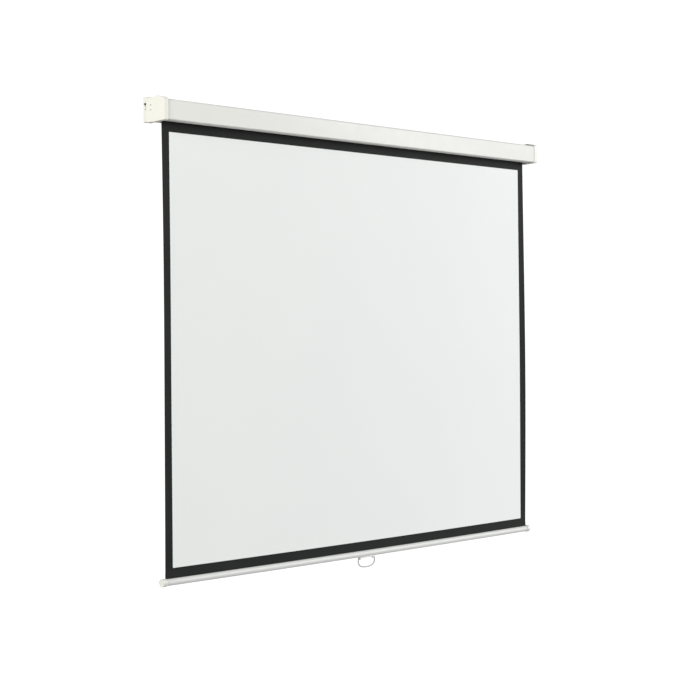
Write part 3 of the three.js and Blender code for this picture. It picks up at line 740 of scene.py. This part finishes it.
def make_hangers():
    """Folded steel channels: a keyhole for the wall, one in the side and a hole for the ceiling."""
    inside_x = HANGER_OUTER_X + HANGER_SHEET
    inside_y = HANGER_FRONT_Y + HANGER_SHEET
    channel = rounded(
        [
            (HANGER_LIP_X, HANGER_FRONT_Y, 0),
            (HANGER_LIP_X, inside_y, 0),
            (inside_x, inside_y, HANGER_INNER_BEND),
            (inside_x, -HANGER_SHEET, HANGER_INNER_BEND),
            (HANGER_INNER_X, -HANGER_SHEET, 0),
            (HANGER_INNER_X, 0, 0),
            (HANGER_OUTER_X, 0, HANGER_BEND),
            (HANGER_OUTER_X, HANGER_FRONT_Y, HANGER_BEND),
        ]
    )
    left = loft("left_hanger_sheet", [across_z(channel, z) for z in (HANGER_BOTTOM, HANGER_TOP)])
    shelf_outline = rounded(
        [
            (HANGER_OUTER_X + HANGER_SHEET / 2, HANGER_FRONT_Y, HANGER_BEND),
            (HANGER_INNER_X, HANGER_FRONT_Y, HANGER_SHELF_BEND),
            (HANGER_INNER_X, -HANGER_SHEET / 2, 0),
            (HANGER_OUTER_X + HANGER_SHEET / 2, -HANGER_SHEET / 2, 0),
        ]
    )
    levels = (HANGER_TOP - HANGER_SHEET, HANGER_TOP)
    shelf = loft("join", [across_z(shelf_outline, z) for z in levels])
    combine(left, [shelf], "UNION")
    cutters = wall_keyhole_cutters() + side_keyhole_cutters() + [ceiling_hole_cutter()]
    combine(left, cutters, "DIFFERENCE")
    soften(left, HANGER_EDGE, angle=35)
    right = mirrored(left, "right_hanger_sheet")
    for made, node in ((left, "left_hanger"), (right, "right_hanger")):
        dress(made, "hanger_paint", "case", node)
        # Painted shade: dark steel inside each channel stands for the shade seen through the keyholes
        darken_channel_as_shade(made)


def darken_channel_as_shade(made):
    """Painted shade: leaves the faces inside a hanger's channel in dark unpainted steel, which stands
    for the shade seen through the keyholes.
    """
    made.data.materials.append(MATERIALS["spring_steel"])
    deep = HANGER_SHEET * 0.9
    for face in made.data.polygons:
        at_x, at_y, at_z = face.center
        within_ends = abs(at_x) < -HANGER_OUTER_X - deep
        within_sides = HANGER_FRONT_Y + deep < at_y < -deep
        if within_ends and within_sides and at_z < HANGER_TOP - deep:
            face.material_index = 1


# Trees of geometry nodes


def begin_tree(name, sizes):
    """An empty tree with a geometry input, named sizes and a material."""
    tree = bpy.data.node_groups.new(name, "GeometryNodeTree")
    sockets = tree.interface
    sockets.new_socket("Geometry", in_out="INPUT", socket_type="NodeSocketGeometry")
    for label in sizes:
        sockets.new_socket(label, in_out="INPUT", socket_type="NodeSocketFloat")
    sockets.new_socket("Material", in_out="INPUT", socket_type="NodeSocketMaterial")
    sockets.new_socket("Geometry", in_out="OUTPUT", socket_type="NodeSocketGeometry")
    return tree, add(tree, "NodeGroupInput").outputs


def end_tree(tree, given, geometry):
    """Realizes the instances, sets the material and gives the result."""
    real = add(tree, "GeometryNodeRealizeInstances", {"Geometry": geometry}).outputs["Geometry"]
    painted = add(tree, "GeometryNodeSetMaterial", {"Geometry": real, "Material": given["Material"]})
    add(tree, "NodeGroupOutput", {"Geometry": painted.outputs["Geometry"]})
    return tree


def grow(name, source, tree, values, material):
    """Runs a tree on a source object, and keeps the result as a plain mesh at the origin."""
    modifier = source.modifiers.new(tree.name, "NODES")
    modifier.node_group = tree
    for item in tree.interface.items_tree:
        if item.item_type == "SOCKET" and item.in_out == "INPUT":
            if item.name in values:
                modifier[item.identifier] = values[item.name]
            elif item.name == "Material":
                modifier[item.identifier] = MATERIALS[material]
    made = new_object(name, final_mesh(source))
    bpy.data.objects.remove(source)
    return made


def vector(tree, x, y, z):
    return add(tree, "ShaderNodeCombineXYZ", {"X": x, "Y": y, "Z": z}).outputs["Vector"]


def moved(tree, geometry, **values):
    """Geometry placed, turned or scaled by the values of a Transform node."""
    return add(tree, "GeometryNodeTransform", {"Geometry": geometry, **values}).outputs["Geometry"]


def screw_head(tree, given):
    """Half a flattened ball with a cross sunk into its top. A box cuts its lower half away."""
    radius = given["Head Radius"]
    height = given["Head Height"]
    ball = add(tree, "GeometryNodeMeshUVSphere", {"Segments": 40, "Rings": 24, "Radius": radius})
    flatness = add(tree, "ShaderNodeMath", {0: height, 1: radius}, operation="DIVIDE").outputs["Value"]
    dome = moved(tree, ball.outputs["Mesh"], Scale=vector(tree, 1.0, 1.0, flatness))
    wide = multiply(tree, radius, 4.0)
    under = add(tree, "GeometryNodeMeshCube", {"Size": vector(tree, wide, wide, wide)})
    under_place = vector(tree, 0.0, 0.0, multiply(tree, wide, -0.5))
    cutters = [moved(tree, under.outputs["Mesh"], Translation=under_place)]
    arm_size = vector(tree, multiply(tree, radius, RECESS_SPAN), given["Recess Width"], height)
    arm_place = vector(tree, 0.0, 0.0, height)
    for turn in (0.0, math.pi / 2):
        arm = add(tree, "GeometryNodeMeshCube", {"Size": arm_size}).outputs["Mesh"]
        cutters.append(moved(tree, arm, Translation=arm_place, Rotation=(0, 0, turn)))
    head = add(tree, "GeometryNodeMeshBoolean", {"Mesh 1": dome}, operation="DIFFERENCE")
    for cutter in cutters:
        tree.links.new(cutter, head.inputs["Mesh 2"])
    return head.outputs["Mesh"]


def screw_shank(tree, given):
    length = given["Shank Length"]
    sizes = {"Vertices": 24, "Radius": given["Shank Radius"], "Depth": length}
    shank = add(tree, "GeometryNodeMeshCylinder", sizes).outputs["Mesh"]
    return moved(tree, shank, Translation=vector(tree, 0.0, 0.0, multiply(tree, length, -0.5)))


def screw_tree():
    """Puts a pan-headed screw with a cross recess at each point, its head along the point's aim."""
    sizes = ["Head Radius", "Head Height", "Recess Width", "Shank Radius", "Shank Length"]
    tree, given = begin_tree("place_screws", sizes)
    whole = add(tree, "GeometryNodeJoinGeometry", {"Geometry": screw_head(tree, given)})
    tree.links.new(screw_shank(tree, given), whole.inputs["Geometry"])
    aim = add(tree, "GeometryNodeInputNamedAttribute", {"Name": "aim"}, data_type="FLOAT_VECTOR")
    facing = {"Vector": aim.outputs["Attribute"]}
    turn = add(tree, "FunctionNodeAlignRotationToVector", facing, axis="Z")
    copies = {
        "Points": given["Geometry"],
        "Instance": whole.outputs["Geometry"],
        "Rotation": turn.outputs["Rotation"],
    }
    placed = add(tree, "GeometryNodeInstanceOnPoints", copies)
    return end_tree(tree, given, placed.outputs["Instances"])


def make_screws(name, tree, seats, sizes, material, body, nodes):
    """Screws of one kind on one body. A seat is the place under a head, and the way it faces."""
    data = bpy.data.meshes.new(name + "_seats")
    data.from_pydata([place for place, aim in seats], [], [])
    attribute = data.attributes.new("aim", "FLOAT_VECTOR", "POINT")
    attribute.data.foreach_set("vector", [value for place, aim in seats for value in aim])
    made = grow(name, new_object(name + "_seats", data), tree, sizes, material)
    shade(made, angle=35)
    place_piece(made, material, body, *nodes)


def four_screws(kind):
    """The nodes of one kind of screw, two on each side of the screen."""
    places = [(side, level) for side in ("left", "right") for level in ("upper", "lower")]
    return [f"{side}_{kind}_screw_{level}" for side, level in places]


def make_cap_screws(tree):
    nodes = four_screws("cap")
    seats = []
    for node in nodes:
        outwards = math.copysign(1.0, low(node, "x"))
        place = (outwards * CAP_OUTER_X, middle(node, "y"), middle(node, "z"))
        seats.append((place, (outwards, 0.0, 0.0)))
    sizes = {
        "Head Radius": 3.2 * MM,
        "Head Height": 1.7 * MM,
        "Recess Width": 0.8 * MM,
        "Shank Radius": 1.9 * MM,
        "Shank Length": 7.2 * MM,
    }
    make_screws("cap_screws", tree, seats, sizes, "hanger_paint", "case", nodes)


def make_hanger_screws(tree):
    nodes = four_screws("hanger")
    lip_y = HANGER_FRONT_Y + HANGER_SHEET
    seats = [((middle(node, "x"), lip_y, middle(node, "z")), (0.0, 1.0, 0.0)) for node in nodes]
    sizes = {
        "Head Radius": 3.6 * MM,
        "Head Height": 2.4 * MM,
        "Recess Width": 0.9 * MM,
        "Shank Radius": 1.9 * MM,
        "Shank Length": lip_y - low(nodes[0], "y"),
    }
    make_screws("hanger_screws", tree, seats, sizes, "plated_steel", "case", nodes)


def make_handle_screws(tree):
    nodes = ["handle_screw_left", "handle_screw_right"]
    seats = [((middle(node, "x"), CLOTH_Y, BASE_BOTTOM), (0.0, 0.0, -1.0)) for node in nodes]
    sizes = {
        "Head Radius": 2.8 * MM,
        "Head Height": 1.3 * MM,
        "Recess Width": 0.7 * MM,
        "Shank Radius": 1.5 * MM,
        "Shank Length": 2.6 * MM,
    }
    make_screws("handle_screws", tree, seats, sizes, "plated_steel", "bar", nodes)


def wire_tree():
    """Sweeps a round wire along a curve."""
    tree, given = begin_tree("sweep_wire", ["Wire Radius"])
    round_section = {"Resolution": 16, "Radius": given["Wire Radius"]}
    section = add(tree, "GeometryNodeCurvePrimitiveCircle", round_section).outputs["Curve"]
    sweep = {"Curve": given["Geometry"], "Profile Curve": section, "Fill Caps": True}
    swept = add(tree, "GeometryNodeCurveToMesh", sweep)
    smooth = add(tree, "GeometryNodeSetShadeSmooth", {"Geometry": swept.outputs["Mesh"]})
    return end_tree(tree, given, smooth.outputs["Geometry"])


def curve_object(name, points):
    """An open curve through points in the frame."""
    data = bpy.data.curves.new(name, "CURVE")
    data.dimensions = "3D"
    line = data.splines.new("POLY")
    line.points.add(len(points) - 1)
    for knot, point in zip(line.points, points):
        knot.co = (*point, 1)
    return new_object(name, data)


# The roller


def make_spring(tree):
    """The torsion spring, wound round the fixed shaft."""
    count = SPRING_TURNS * SPRING_STEPS_PER_TURN
    length = SPRING_TO_X - SPRING_FROM_X - 2 * SPRING_WIRE
    points = []
    for i in range(count + 1):
        share = i / count
        turn = math.tau * SPRING_TURNS * share
        x = SPRING_FROM_X + SPRING_WIRE + length * share
        y = AXLE_Y + SPRING_RADIUS * math.cos(turn)
        z = AXLE_Z + SPRING_RADIUS * math.sin(turn)
        points.append((x, y, z))
    source = curve_object("spring_path", points)
    wire = {"Wire Radius": SPRING_WIRE * SPRING_WIRE_SHARE}
    made = grow("wound_spring", source, tree, wire, "spring_steel")
    place_piece(made, "spring_steel", "case", "torsion_spring")


def set_cloth_map(made, down):
    """Lays the cloth's own map over a piece, in metres: along X, and down by a rule for a point."""
    layer = made.data.uv_layers.new(name="cloth")
    for loop in made.data.loops:
        point = made.data.vertices[loop.vertex_index].co
        layer.data[loop.index].uv = (point.x, down(point))


def way_round_roller(point):
    return math.atan2(point.z - AXLE_Z, point.y - AXLE_Y) * ROLLER_RADIUS


def make_wound_cloth():
    """The turns of cloth that stay on the roller, wound as one spiral."""
    inner = ROLLER_RADIUS + WOUND_GAP + CLOTH_THICKNESS / 2
    outer = CLOTH_Y - AXLE_Y - CLOTH_THICKNESS / 2
    line = []
    for share in spaced(0, 1, WOUND_STEPS) + [1]:
        turn = -math.tau * WOUND_TURNS * (1 - share)
        line.append(on_circle(inner + (outer - inner) * share, turn))
    section = thick_line(line, WOUND_LAYER)
    rings = [across_x(section, x, AXLE_Y, AXLE_Z) for x in (-CLOTH_HALF, CLOTH_HALF)]
    made = loft("wound_cloth", rings)
    shade(made)
    set_cloth_map(made, way_round_roller)
    dress(made, "black_fabric", "roller", "fabric_wraps")


# The cloth


def lay_of(x, z):
    """How far the hanging cloth stands off its plane: a slow wave, and sides that curl forwards."""
    down = (CLOTH_TOP - z) / (CLOTH_TOP - PICTURE_BOTTOM)
    if not 0 < down < 1:
        return 0.0
    across = math.sin(WAVE_ACROSS * x + WAVE_START)
    along = math.sin(WAVE_DOWN * math.pi * down + WAVE_SLANT * x)
    held = math.sin(math.pi * down)
    curl, skew = LEFT_CURL if x < 0 else RIGHT_CURL
    rim = (abs(x) / CLOTH_HALF) ** CURL_NARROWNESS
    return CLOTH_WAVE * held * (across * along) - curl * rim * math.sin(math.pi * down**skew)


def rise_of(x, z):
    """The cloth's share of the bar's bow, from none at the roller to all of it at the hem."""
    return bow_rise(x) * (CLOTH_TOP - z) / (CLOTH_TOP - PICTURE_BOTTOM)


def cloth_mesh(columns, rows):
    """A thin closed sheet of small faces: the picture has its first material, the rest its second."""
    mesh = bmesh.new()
    front, back = [
        [[mesh.verts.new((x, y + lay_of(x, z), z + rise_of(x, z))) for x in columns] for z in rows]
        for y in (CLOTH_Y - CLOTH_THICKNESS / 2, CLOTH_Y + CLOTH_THICKNESS / 2)
    ]
    for r in range(len(rows) - 1):
        for c in range(len(columns) - 1):
            inside_x = abs(columns[c] + columns[c + 1]) / 2 < PICTURE_HALF
            inside_z = (rows[r] + rows[r + 1]) / 2 < PICTURE_TOP
            face = mesh.faces.new((front[r][c], front[r + 1][c], front[r + 1][c + 1], front[r][c + 1]))
            face.material_index = 0 if inside_x and inside_z else 1
            face = mesh.faces.new((back[r][c], back[r][c + 1], back[r + 1][c + 1], back[r + 1][c]))
            face.material_index = 1
    rim = [(front[0], back[0]), (front[-1], back[-1])]
    rim += [([row[e] for row in front], [row[e] for row in back]) for e in (0, -1)]
    for near, far in rim:
        for i in range(len(near) - 1):
            face = mesh.faces.new((near[i], near[i + 1], far[i + 1], far[i]))
            face.material_index = 1
    bmesh.ops.recalc_face_normals(mesh, faces=mesh.faces)
    return mesh


def make_screen_cloth():
    """One sheet: white picture, black border, black back."""
    columns = spaced(-CLOTH_HALF, -PICTURE_HALF, SIDE_COLUMNS)
    columns += spaced(-PICTURE_HALF, PICTURE_HALF, PICTURE_COLUMNS)
    columns += spaced(PICTURE_HALF, CLOTH_HALF, SIDE_COLUMNS) + [CLOTH_HALF]
    rows = spaced(CLOTH_TOP, PICTURE_TOP, TOP_ROWS)
    rows += spaced(PICTURE_TOP, PICTURE_BOTTOM, PICTURE_ROWS) + [PICTURE_BOTTOM]
    made = to_object("screen_cloth", cloth_mesh(columns, rows))
    shade(made)
    set_cloth_map(made, lambda p: p.z)
    made.data.materials.append(MATERIALS["white_fabric"])
    made.data.materials.append(MATERIALS["black_fabric"])
    place_piece(made, "white_fabric", "case", "backing_sheet", "white_surface")
    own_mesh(made)
    return made


def hem_line():
    """The hem's path: down the front, round the rod in the bar, and up the back to its weld."""
    radius = SPLINE_RADIUS + CLOTH_THICKNESS
    neck = HEM_NECK_HALF
    neck_foot = SPLINE_Z + HEM_NECK_REACH * radius
    weld_z = BAR_Z + BAR_RADIUS + HEM_WELD_HEIGHT
    line = [Vector((0, PICTURE_BOTTOM)), Vector((0, weld_z))]
    line += [Vector((-neck, weld_z - HEM_PARTING)), Vector((-neck, neck_foot))]
    start = math.radians(HEM_LOOP_START)
    sweep = math.tau - 2 * (start - math.pi / 2)
    for i in range(HEM_LOOP_STEPS + 1):
        turn = start + sweep * i / HEM_LOOP_STEPS
        line.append(Vector((radius * math.cos(turn), SPLINE_Z + radius * math.sin(turn))))
    line += [Vector((neck, neck_foot)), Vector((neck, weld_z))]
    return line


def make_hem():
    """The black band under the picture, with the pocket that holds it in the bar."""
    section = thick_line(hem_line(), CLOTH_THICKNESS)
    spans = spaced(-CLOTH_HALF, CLOTH_HALF, BAR_STEPS) + [CLOTH_HALF]
    made = bowed(loft("hem_cloth", [across_x(section, x, CLOTH_Y) for x in spans]))
    shade(made)
    set_cloth_map(made, lambda p: p.z + p.y)
    dress(made, "black_fabric", "bar", "hem_band")
    return made


# The bar


def make_bar():
    """A round steel tube, slotted along its top."""
    outline = []
    for radius, order in ((BAR_RADIUS, 1), (BAR_RADIUS - BAR_WALL, -1)):
        gap = math.asin(BAR_SLOT_HALF / radius)
        sweep = math.tau - 2 * gap
        turns = [math.pi / 2 + gap + sweep * i / BAR_SIDES for i in range(BAR_SIDES + 1)]
        outline += [on_circle(radius, turn) for turn in turns[::order]]
    spans = spaced(-BAR_END_X, BAR_END_X, BAR_STEPS) + [BAR_END_X]
    tube = loft("bar_tube", [across_x(outline, x, CLOTH_Y, BAR_Z) for x in spans])
    dress(bowed(soften(tube, BAR_EDGE, angle=50)), "bar_paint", "bar", "bottom_bar")


def plug_profile():
    """The left plug as (x, radius): its dished face, its grooved side and the bore for the bar."""
    face_x = -PLUG_OUTER_X
    dish_x = face_x + PLUG_DISH_DEPTH
    dish_radius = PLUG_RADIUS - PLUG_RIM
    groove_x = face_x + PLUG_GROOVE_FROM_END
    groove_radius = PLUG_RADIUS - PLUG_GROOVE_DEPTH
    rim_x = -PLUG_INNER_X
    bore = BAR_RADIUS + FIT_GAP
    floor_x = -BAR_END_X - FIT_GAP
    return rounded(
        [
            (dish_x, PLUG_CENTRE, 0),
            (dish_x, dish_radius - PLUG_DISH_DEPTH, 0.4 * MM),
            (face_x, dish_radius, 0.4 * MM),
            (face_x, PLUG_RADIUS, PLUG_EDGE),
            (groove_x - PLUG_GROOVE_HALF, PLUG_RADIUS, 0.3 * MM),
            (groove_x - PLUG_GROOVE_HALF, groove_radius, 0.2 * MM),
            (groove_x + PLUG_GROOVE_HALF, groove_radius, 0.2 * MM),
            (groove_x + PLUG_GROOVE_HALF, PLUG_RADIUS, 0.3 * MM),
            (rim_x, PLUG_RADIUS, 0.6 * MM),
            (rim_x, bore, 0.3 * MM),
            (floor_x, bore, 0.3 * MM),
            (floor_x, PLUG_CENTRE, 0),
        ],
        closed=False,
    )


def make_bar_plugs():
    """Moulded cups over the ends of the bar."""
    rings = [across_x(circle(radius), x, CLOTH_Y, BAR_Z) for x, radius in plug_profile()]
    left = loft("left_plug", rings)
    shade(left)
    right = mirrored(bowed(left), "right_plug")
    dress(left, "plug_plastic", "bar", "left_bar_plug")
    dress(right, "plug_plastic", "bar", "right_bar_plug")


def saddle_outline():
    """The saddle's section about the bar's axis: an arc that fits the bar, over a flat underside."""
    seat = BAR_RADIUS + FIT_GAP
    reach = math.asin(BASE_HALF_DEPTH / seat)
    turns = [-math.pi / 2 - reach + 2 * reach * i / SEAT_STEPS for i in range(SEAT_STEPS + 1)]
    arc = [(seat * math.cos(t), seat * math.sin(t), 0) for t in turns]
    bottom = BASE_BOTTOM - BAR_Z
    corners = [(BASE_HALF_DEPTH, bottom, BASE_BEND), (-BASE_HALF_DEPTH, bottom, BASE_BEND)]
    return rounded(arc + corners)


def lug_outline():
    """A lug's section, rounded under the pivot, whose top lies inside the saddle."""
    bottom = HANDLE_PIVOT_Z - LUG_HALF_DEPTH
    top = BAR_Z - BAR_RADIUS - FIT_GAP - LUG_BELOW_SEAT
    return rounded(
        [
            (-LUG_HALF_DEPTH, bottom, LUG_BEND),
            (LUG_HALF_DEPTH, bottom, LUG_BEND),
            (LUG_HALF_DEPTH, top, 0),
            (-LUG_HALF_DEPTH, top, 0),
        ]
    )


def make_handle_base():
    """A saddle under the bar with a lug at each end for the handle's wire."""
    ends = (-BASE_HALF_LENGTH, BASE_HALF_LENGTH)
    saddle = loft("handle_saddle", [across_x(saddle_outline(), x, CLOTH_Y, BAR_Z) for x in ends])
    lugs = []
    for span in ((-BASE_HALF_LENGTH, -LUG_INNER_X), (LUG_INNER_X, BASE_HALF_LENGTH)):
        lugs.append(loft("join", [across_x(lug_outline(), x, CLOTH_Y) for x in span]))
    combine(saddle, lugs, "UNION")
    pin_holes = []
    for side in (-1, 1):
        span = sorted((side * (LUG_INNER_X - LUG_MARGIN), side * HANDLE_HALF_WIDTH))
        place = (CLOTH_Y, HANDLE_PIVOT_Z)
        pin_holes.append(hole_cutter("x", HANDLE_WIRE + FIT_GAP, *span, place))
    combine(saddle, pin_holes, "DIFFERENCE")
    dress(soften(saddle, BASE_EDGE, angle=35), "plug_plastic", "bar", "handle_base")


def make_handle(tree):
    """A bail of bent wire, whose ends turn in through the lugs."""
    half = HANDLE_HALF_WIDTH
    shoulder = Vector((-half, HANDLE_PIVOT_Z))
    inwards = Vector((HANDLE_SHOULDER, 0))
    downwards = Vector((0, -HANDLE_SHOULDER))
    bow_top = Vector((-half, HANDLE_BOTTOM + HANDLE_BOW))
    bow_corner = Vector((-half, HANDLE_BOTTOM))
    left = [Vector((-LUG_INNER_X - LUG_MARGIN, HANDLE_PIVOT_Z))]
    left += bend(shoulder + inwards, shoulder, shoulder + downwards)
    left += bend(bow_top, bow_corner, Vector((0, HANDLE_BOTTOM)), HANDLE_BOW_STEPS)
    path = left + [Vector((-p.x, p.y)) for p in left[-2::-1]]
    source = curve_object("handle_path", [(p.x, CLOTH_Y, p.y) for p in path])
    made = grow("handle_bail", source, tree, {"Wire Radius": HANDLE_WIRE}, "handle_paint")
    place_piece(made, "handle_paint", "handle", "pull_handle")


# The room

CAMERA_PLACE = (-4.178, -3.768, -0.663)
CAMERA_YAW = math.radians(47.5)
CAMERA_PITCH = math.radians(-0.15)
CAMERA_ROLL = math.radians(-0.51)
CAMERA_LENS = 89.68
SENSOR_WIDTH = 36

# The room's brightness by height, from straight down at 0 to straight up at 1
ROOM_LEVELS = [(0.0, 0.2), (0.34, 0.32), (0.39, 1.0), (0.61, 1.0), (0.68, 0.34), (1.0, 0.1)]
ROOM_STRENGTH = 1.11

FLOOR_Z = -2.6
FLOOR_RADIUS = 2.5
FLOOR_THICKNESS = 20 * MM
FLOOR_TONE_PATCH = 800 * MM


def make_camera():
    """The photo's camera, placed by the corners of the screen's picture in it."""
    data = bpy.data.cameras.new("camera")
    data.lens = CAMERA_LENS
    data.sensor_width = SENSOR_WIDTH
    camera = new_object("camera", data)
    level = math.cos(CAMERA_PITCH)
    ahead = Vector(
        (math.sin(CAMERA_YAW) * level, math.cos(CAMERA_YAW) * level, math.sin(CAMERA_PITCH))
    )
    right = Vector((math.cos(CAMERA_YAW), -math.sin(CAMERA_YAW), 0))
    up = right.cross(ahead)
    rolled_right = right * math.cos(CAMERA_ROLL) + up * math.sin(CAMERA_ROLL)
    rolled_up = up * math.cos(CAMERA_ROLL) - right * math.sin(CAMERA_ROLL)
    turn = Matrix((rolled_right, rolled_up, -ahead)).transposed().to_4x4()
    camera.matrix_world = Matrix.Translation(CAMERA_PLACE) @ turn
    bpy.context.scene.camera = camera


def area_light(name, place, aim, size, power, colour):
    """A rectangular light of a size in metres and a power in watts, turned towards a point."""
    data = bpy.data.lights.new(name, "AREA")
    data.shape = "RECTANGLE"
    data.size, data.size_y = size
    data.energy = power
    data.color = colour
    light = new_object(name, data)
    light.location = place
    light.rotation_euler = (Vector(aim) - Vector(place)).to_track_quat("-Z", "Y").to_euler()


def make_world():
    """A white room: bright at eye level, dim overhead and below."""
    world = bpy.data.worlds.new("room")
    bpy.context.scene.world = world
    world.use_nodes = True
    tree = world.node_tree
    direction = add(tree, "ShaderNodeTexCoord").outputs["Generated"]
    height = add(tree, "ShaderNodeSeparateXYZ", {"Vector": direction}).outputs["Z"]
    full_height = {"Value": height, "From Min": -1.0, "From Max": 1.0}
    share = add(tree, "ShaderNodeMapRange", full_height).outputs["Result"]
    ramp = add(tree, "ShaderNodeValToRGB", {"Fac": share})
    stops = ramp.color_ramp.elements
    while len(stops) < len(ROOM_LEVELS):
        stops.new(0.5)
    for stop, (position, level) in zip(stops, ROOM_LEVELS):
        stop.position = position
        stop.color = (level, level, level, 1)
    background = tree.nodes["Background"]
    tree.links.new(ramp.outputs["Color"], background.inputs["Color"])
    background.inputs["Strength"].default_value = ROOM_STRENGTH


def make_floor():
    """A round sheet of grey paper, far enough down to stay out of the picture."""
    outline = circle(FLOOR_RADIUS, FLOOR_SIDES)
    floor = loft("floor", [across_z(outline, z) for z in (FLOOR_Z - FLOOR_THICKNESS, FLOOR_Z)])
    material, tree, shader = begin_finish("floor_paper", roughness=0.9)
    drift = noise(tree, object_place(tree), FLOOR_TONE_PATCH)
    set_tone(tree, shader, drift, (0.5, 0.5, 0.495), (0.53, 0.53, 0.525))
    floor.data.materials.append(material)


def make_lights():
    """A soft light on the left end, and a larger one on the front from the right."""
    area_light(
        "left",
        place=(-4.4, -1.0, 0.7),
        aim=(-0.9, 0, 0),
        size=(1.6, 1.6),
        power=78,
        colour=(1.0, 0.995, 0.92),
    )
    area_light(
        "front",
        place=(5.4, -4.4, 1.1),
        aim=(0.8, 0, -0.4),
        size=(2.6, 2.4),
        power=221,
        colour=(0.985, 1.0, 1.0),
    )


def make_room():
    make_camera()
    make_world()
    make_floor()
    make_lights()
    bpy.context.scene.view_settings.view_transform = "Standard"
    bpy.context.scene.view_settings.look = "None"


# Everything, in order: first each node's own finish, then the pieces

for row in frame["record"]["subparts"]:
    node = frame["nodes"][row["node"]]
    node.material_slots[0].material = MATERIALS[row["material_slot"]]

make_room()
make_case()
make_end_caps()
make_hangers()
screws = screw_tree()
make_cap_screws(screws)
make_hanger_screws(screws)
make_handle_screws(screws)
wire = wire_tree()
make_spring(wire)
make_wound_cloth()
cloth = make_screen_cloth()
hem = make_hem()
make_bar()
make_bar_plugs()
make_handle_base()
make_handle(wire)
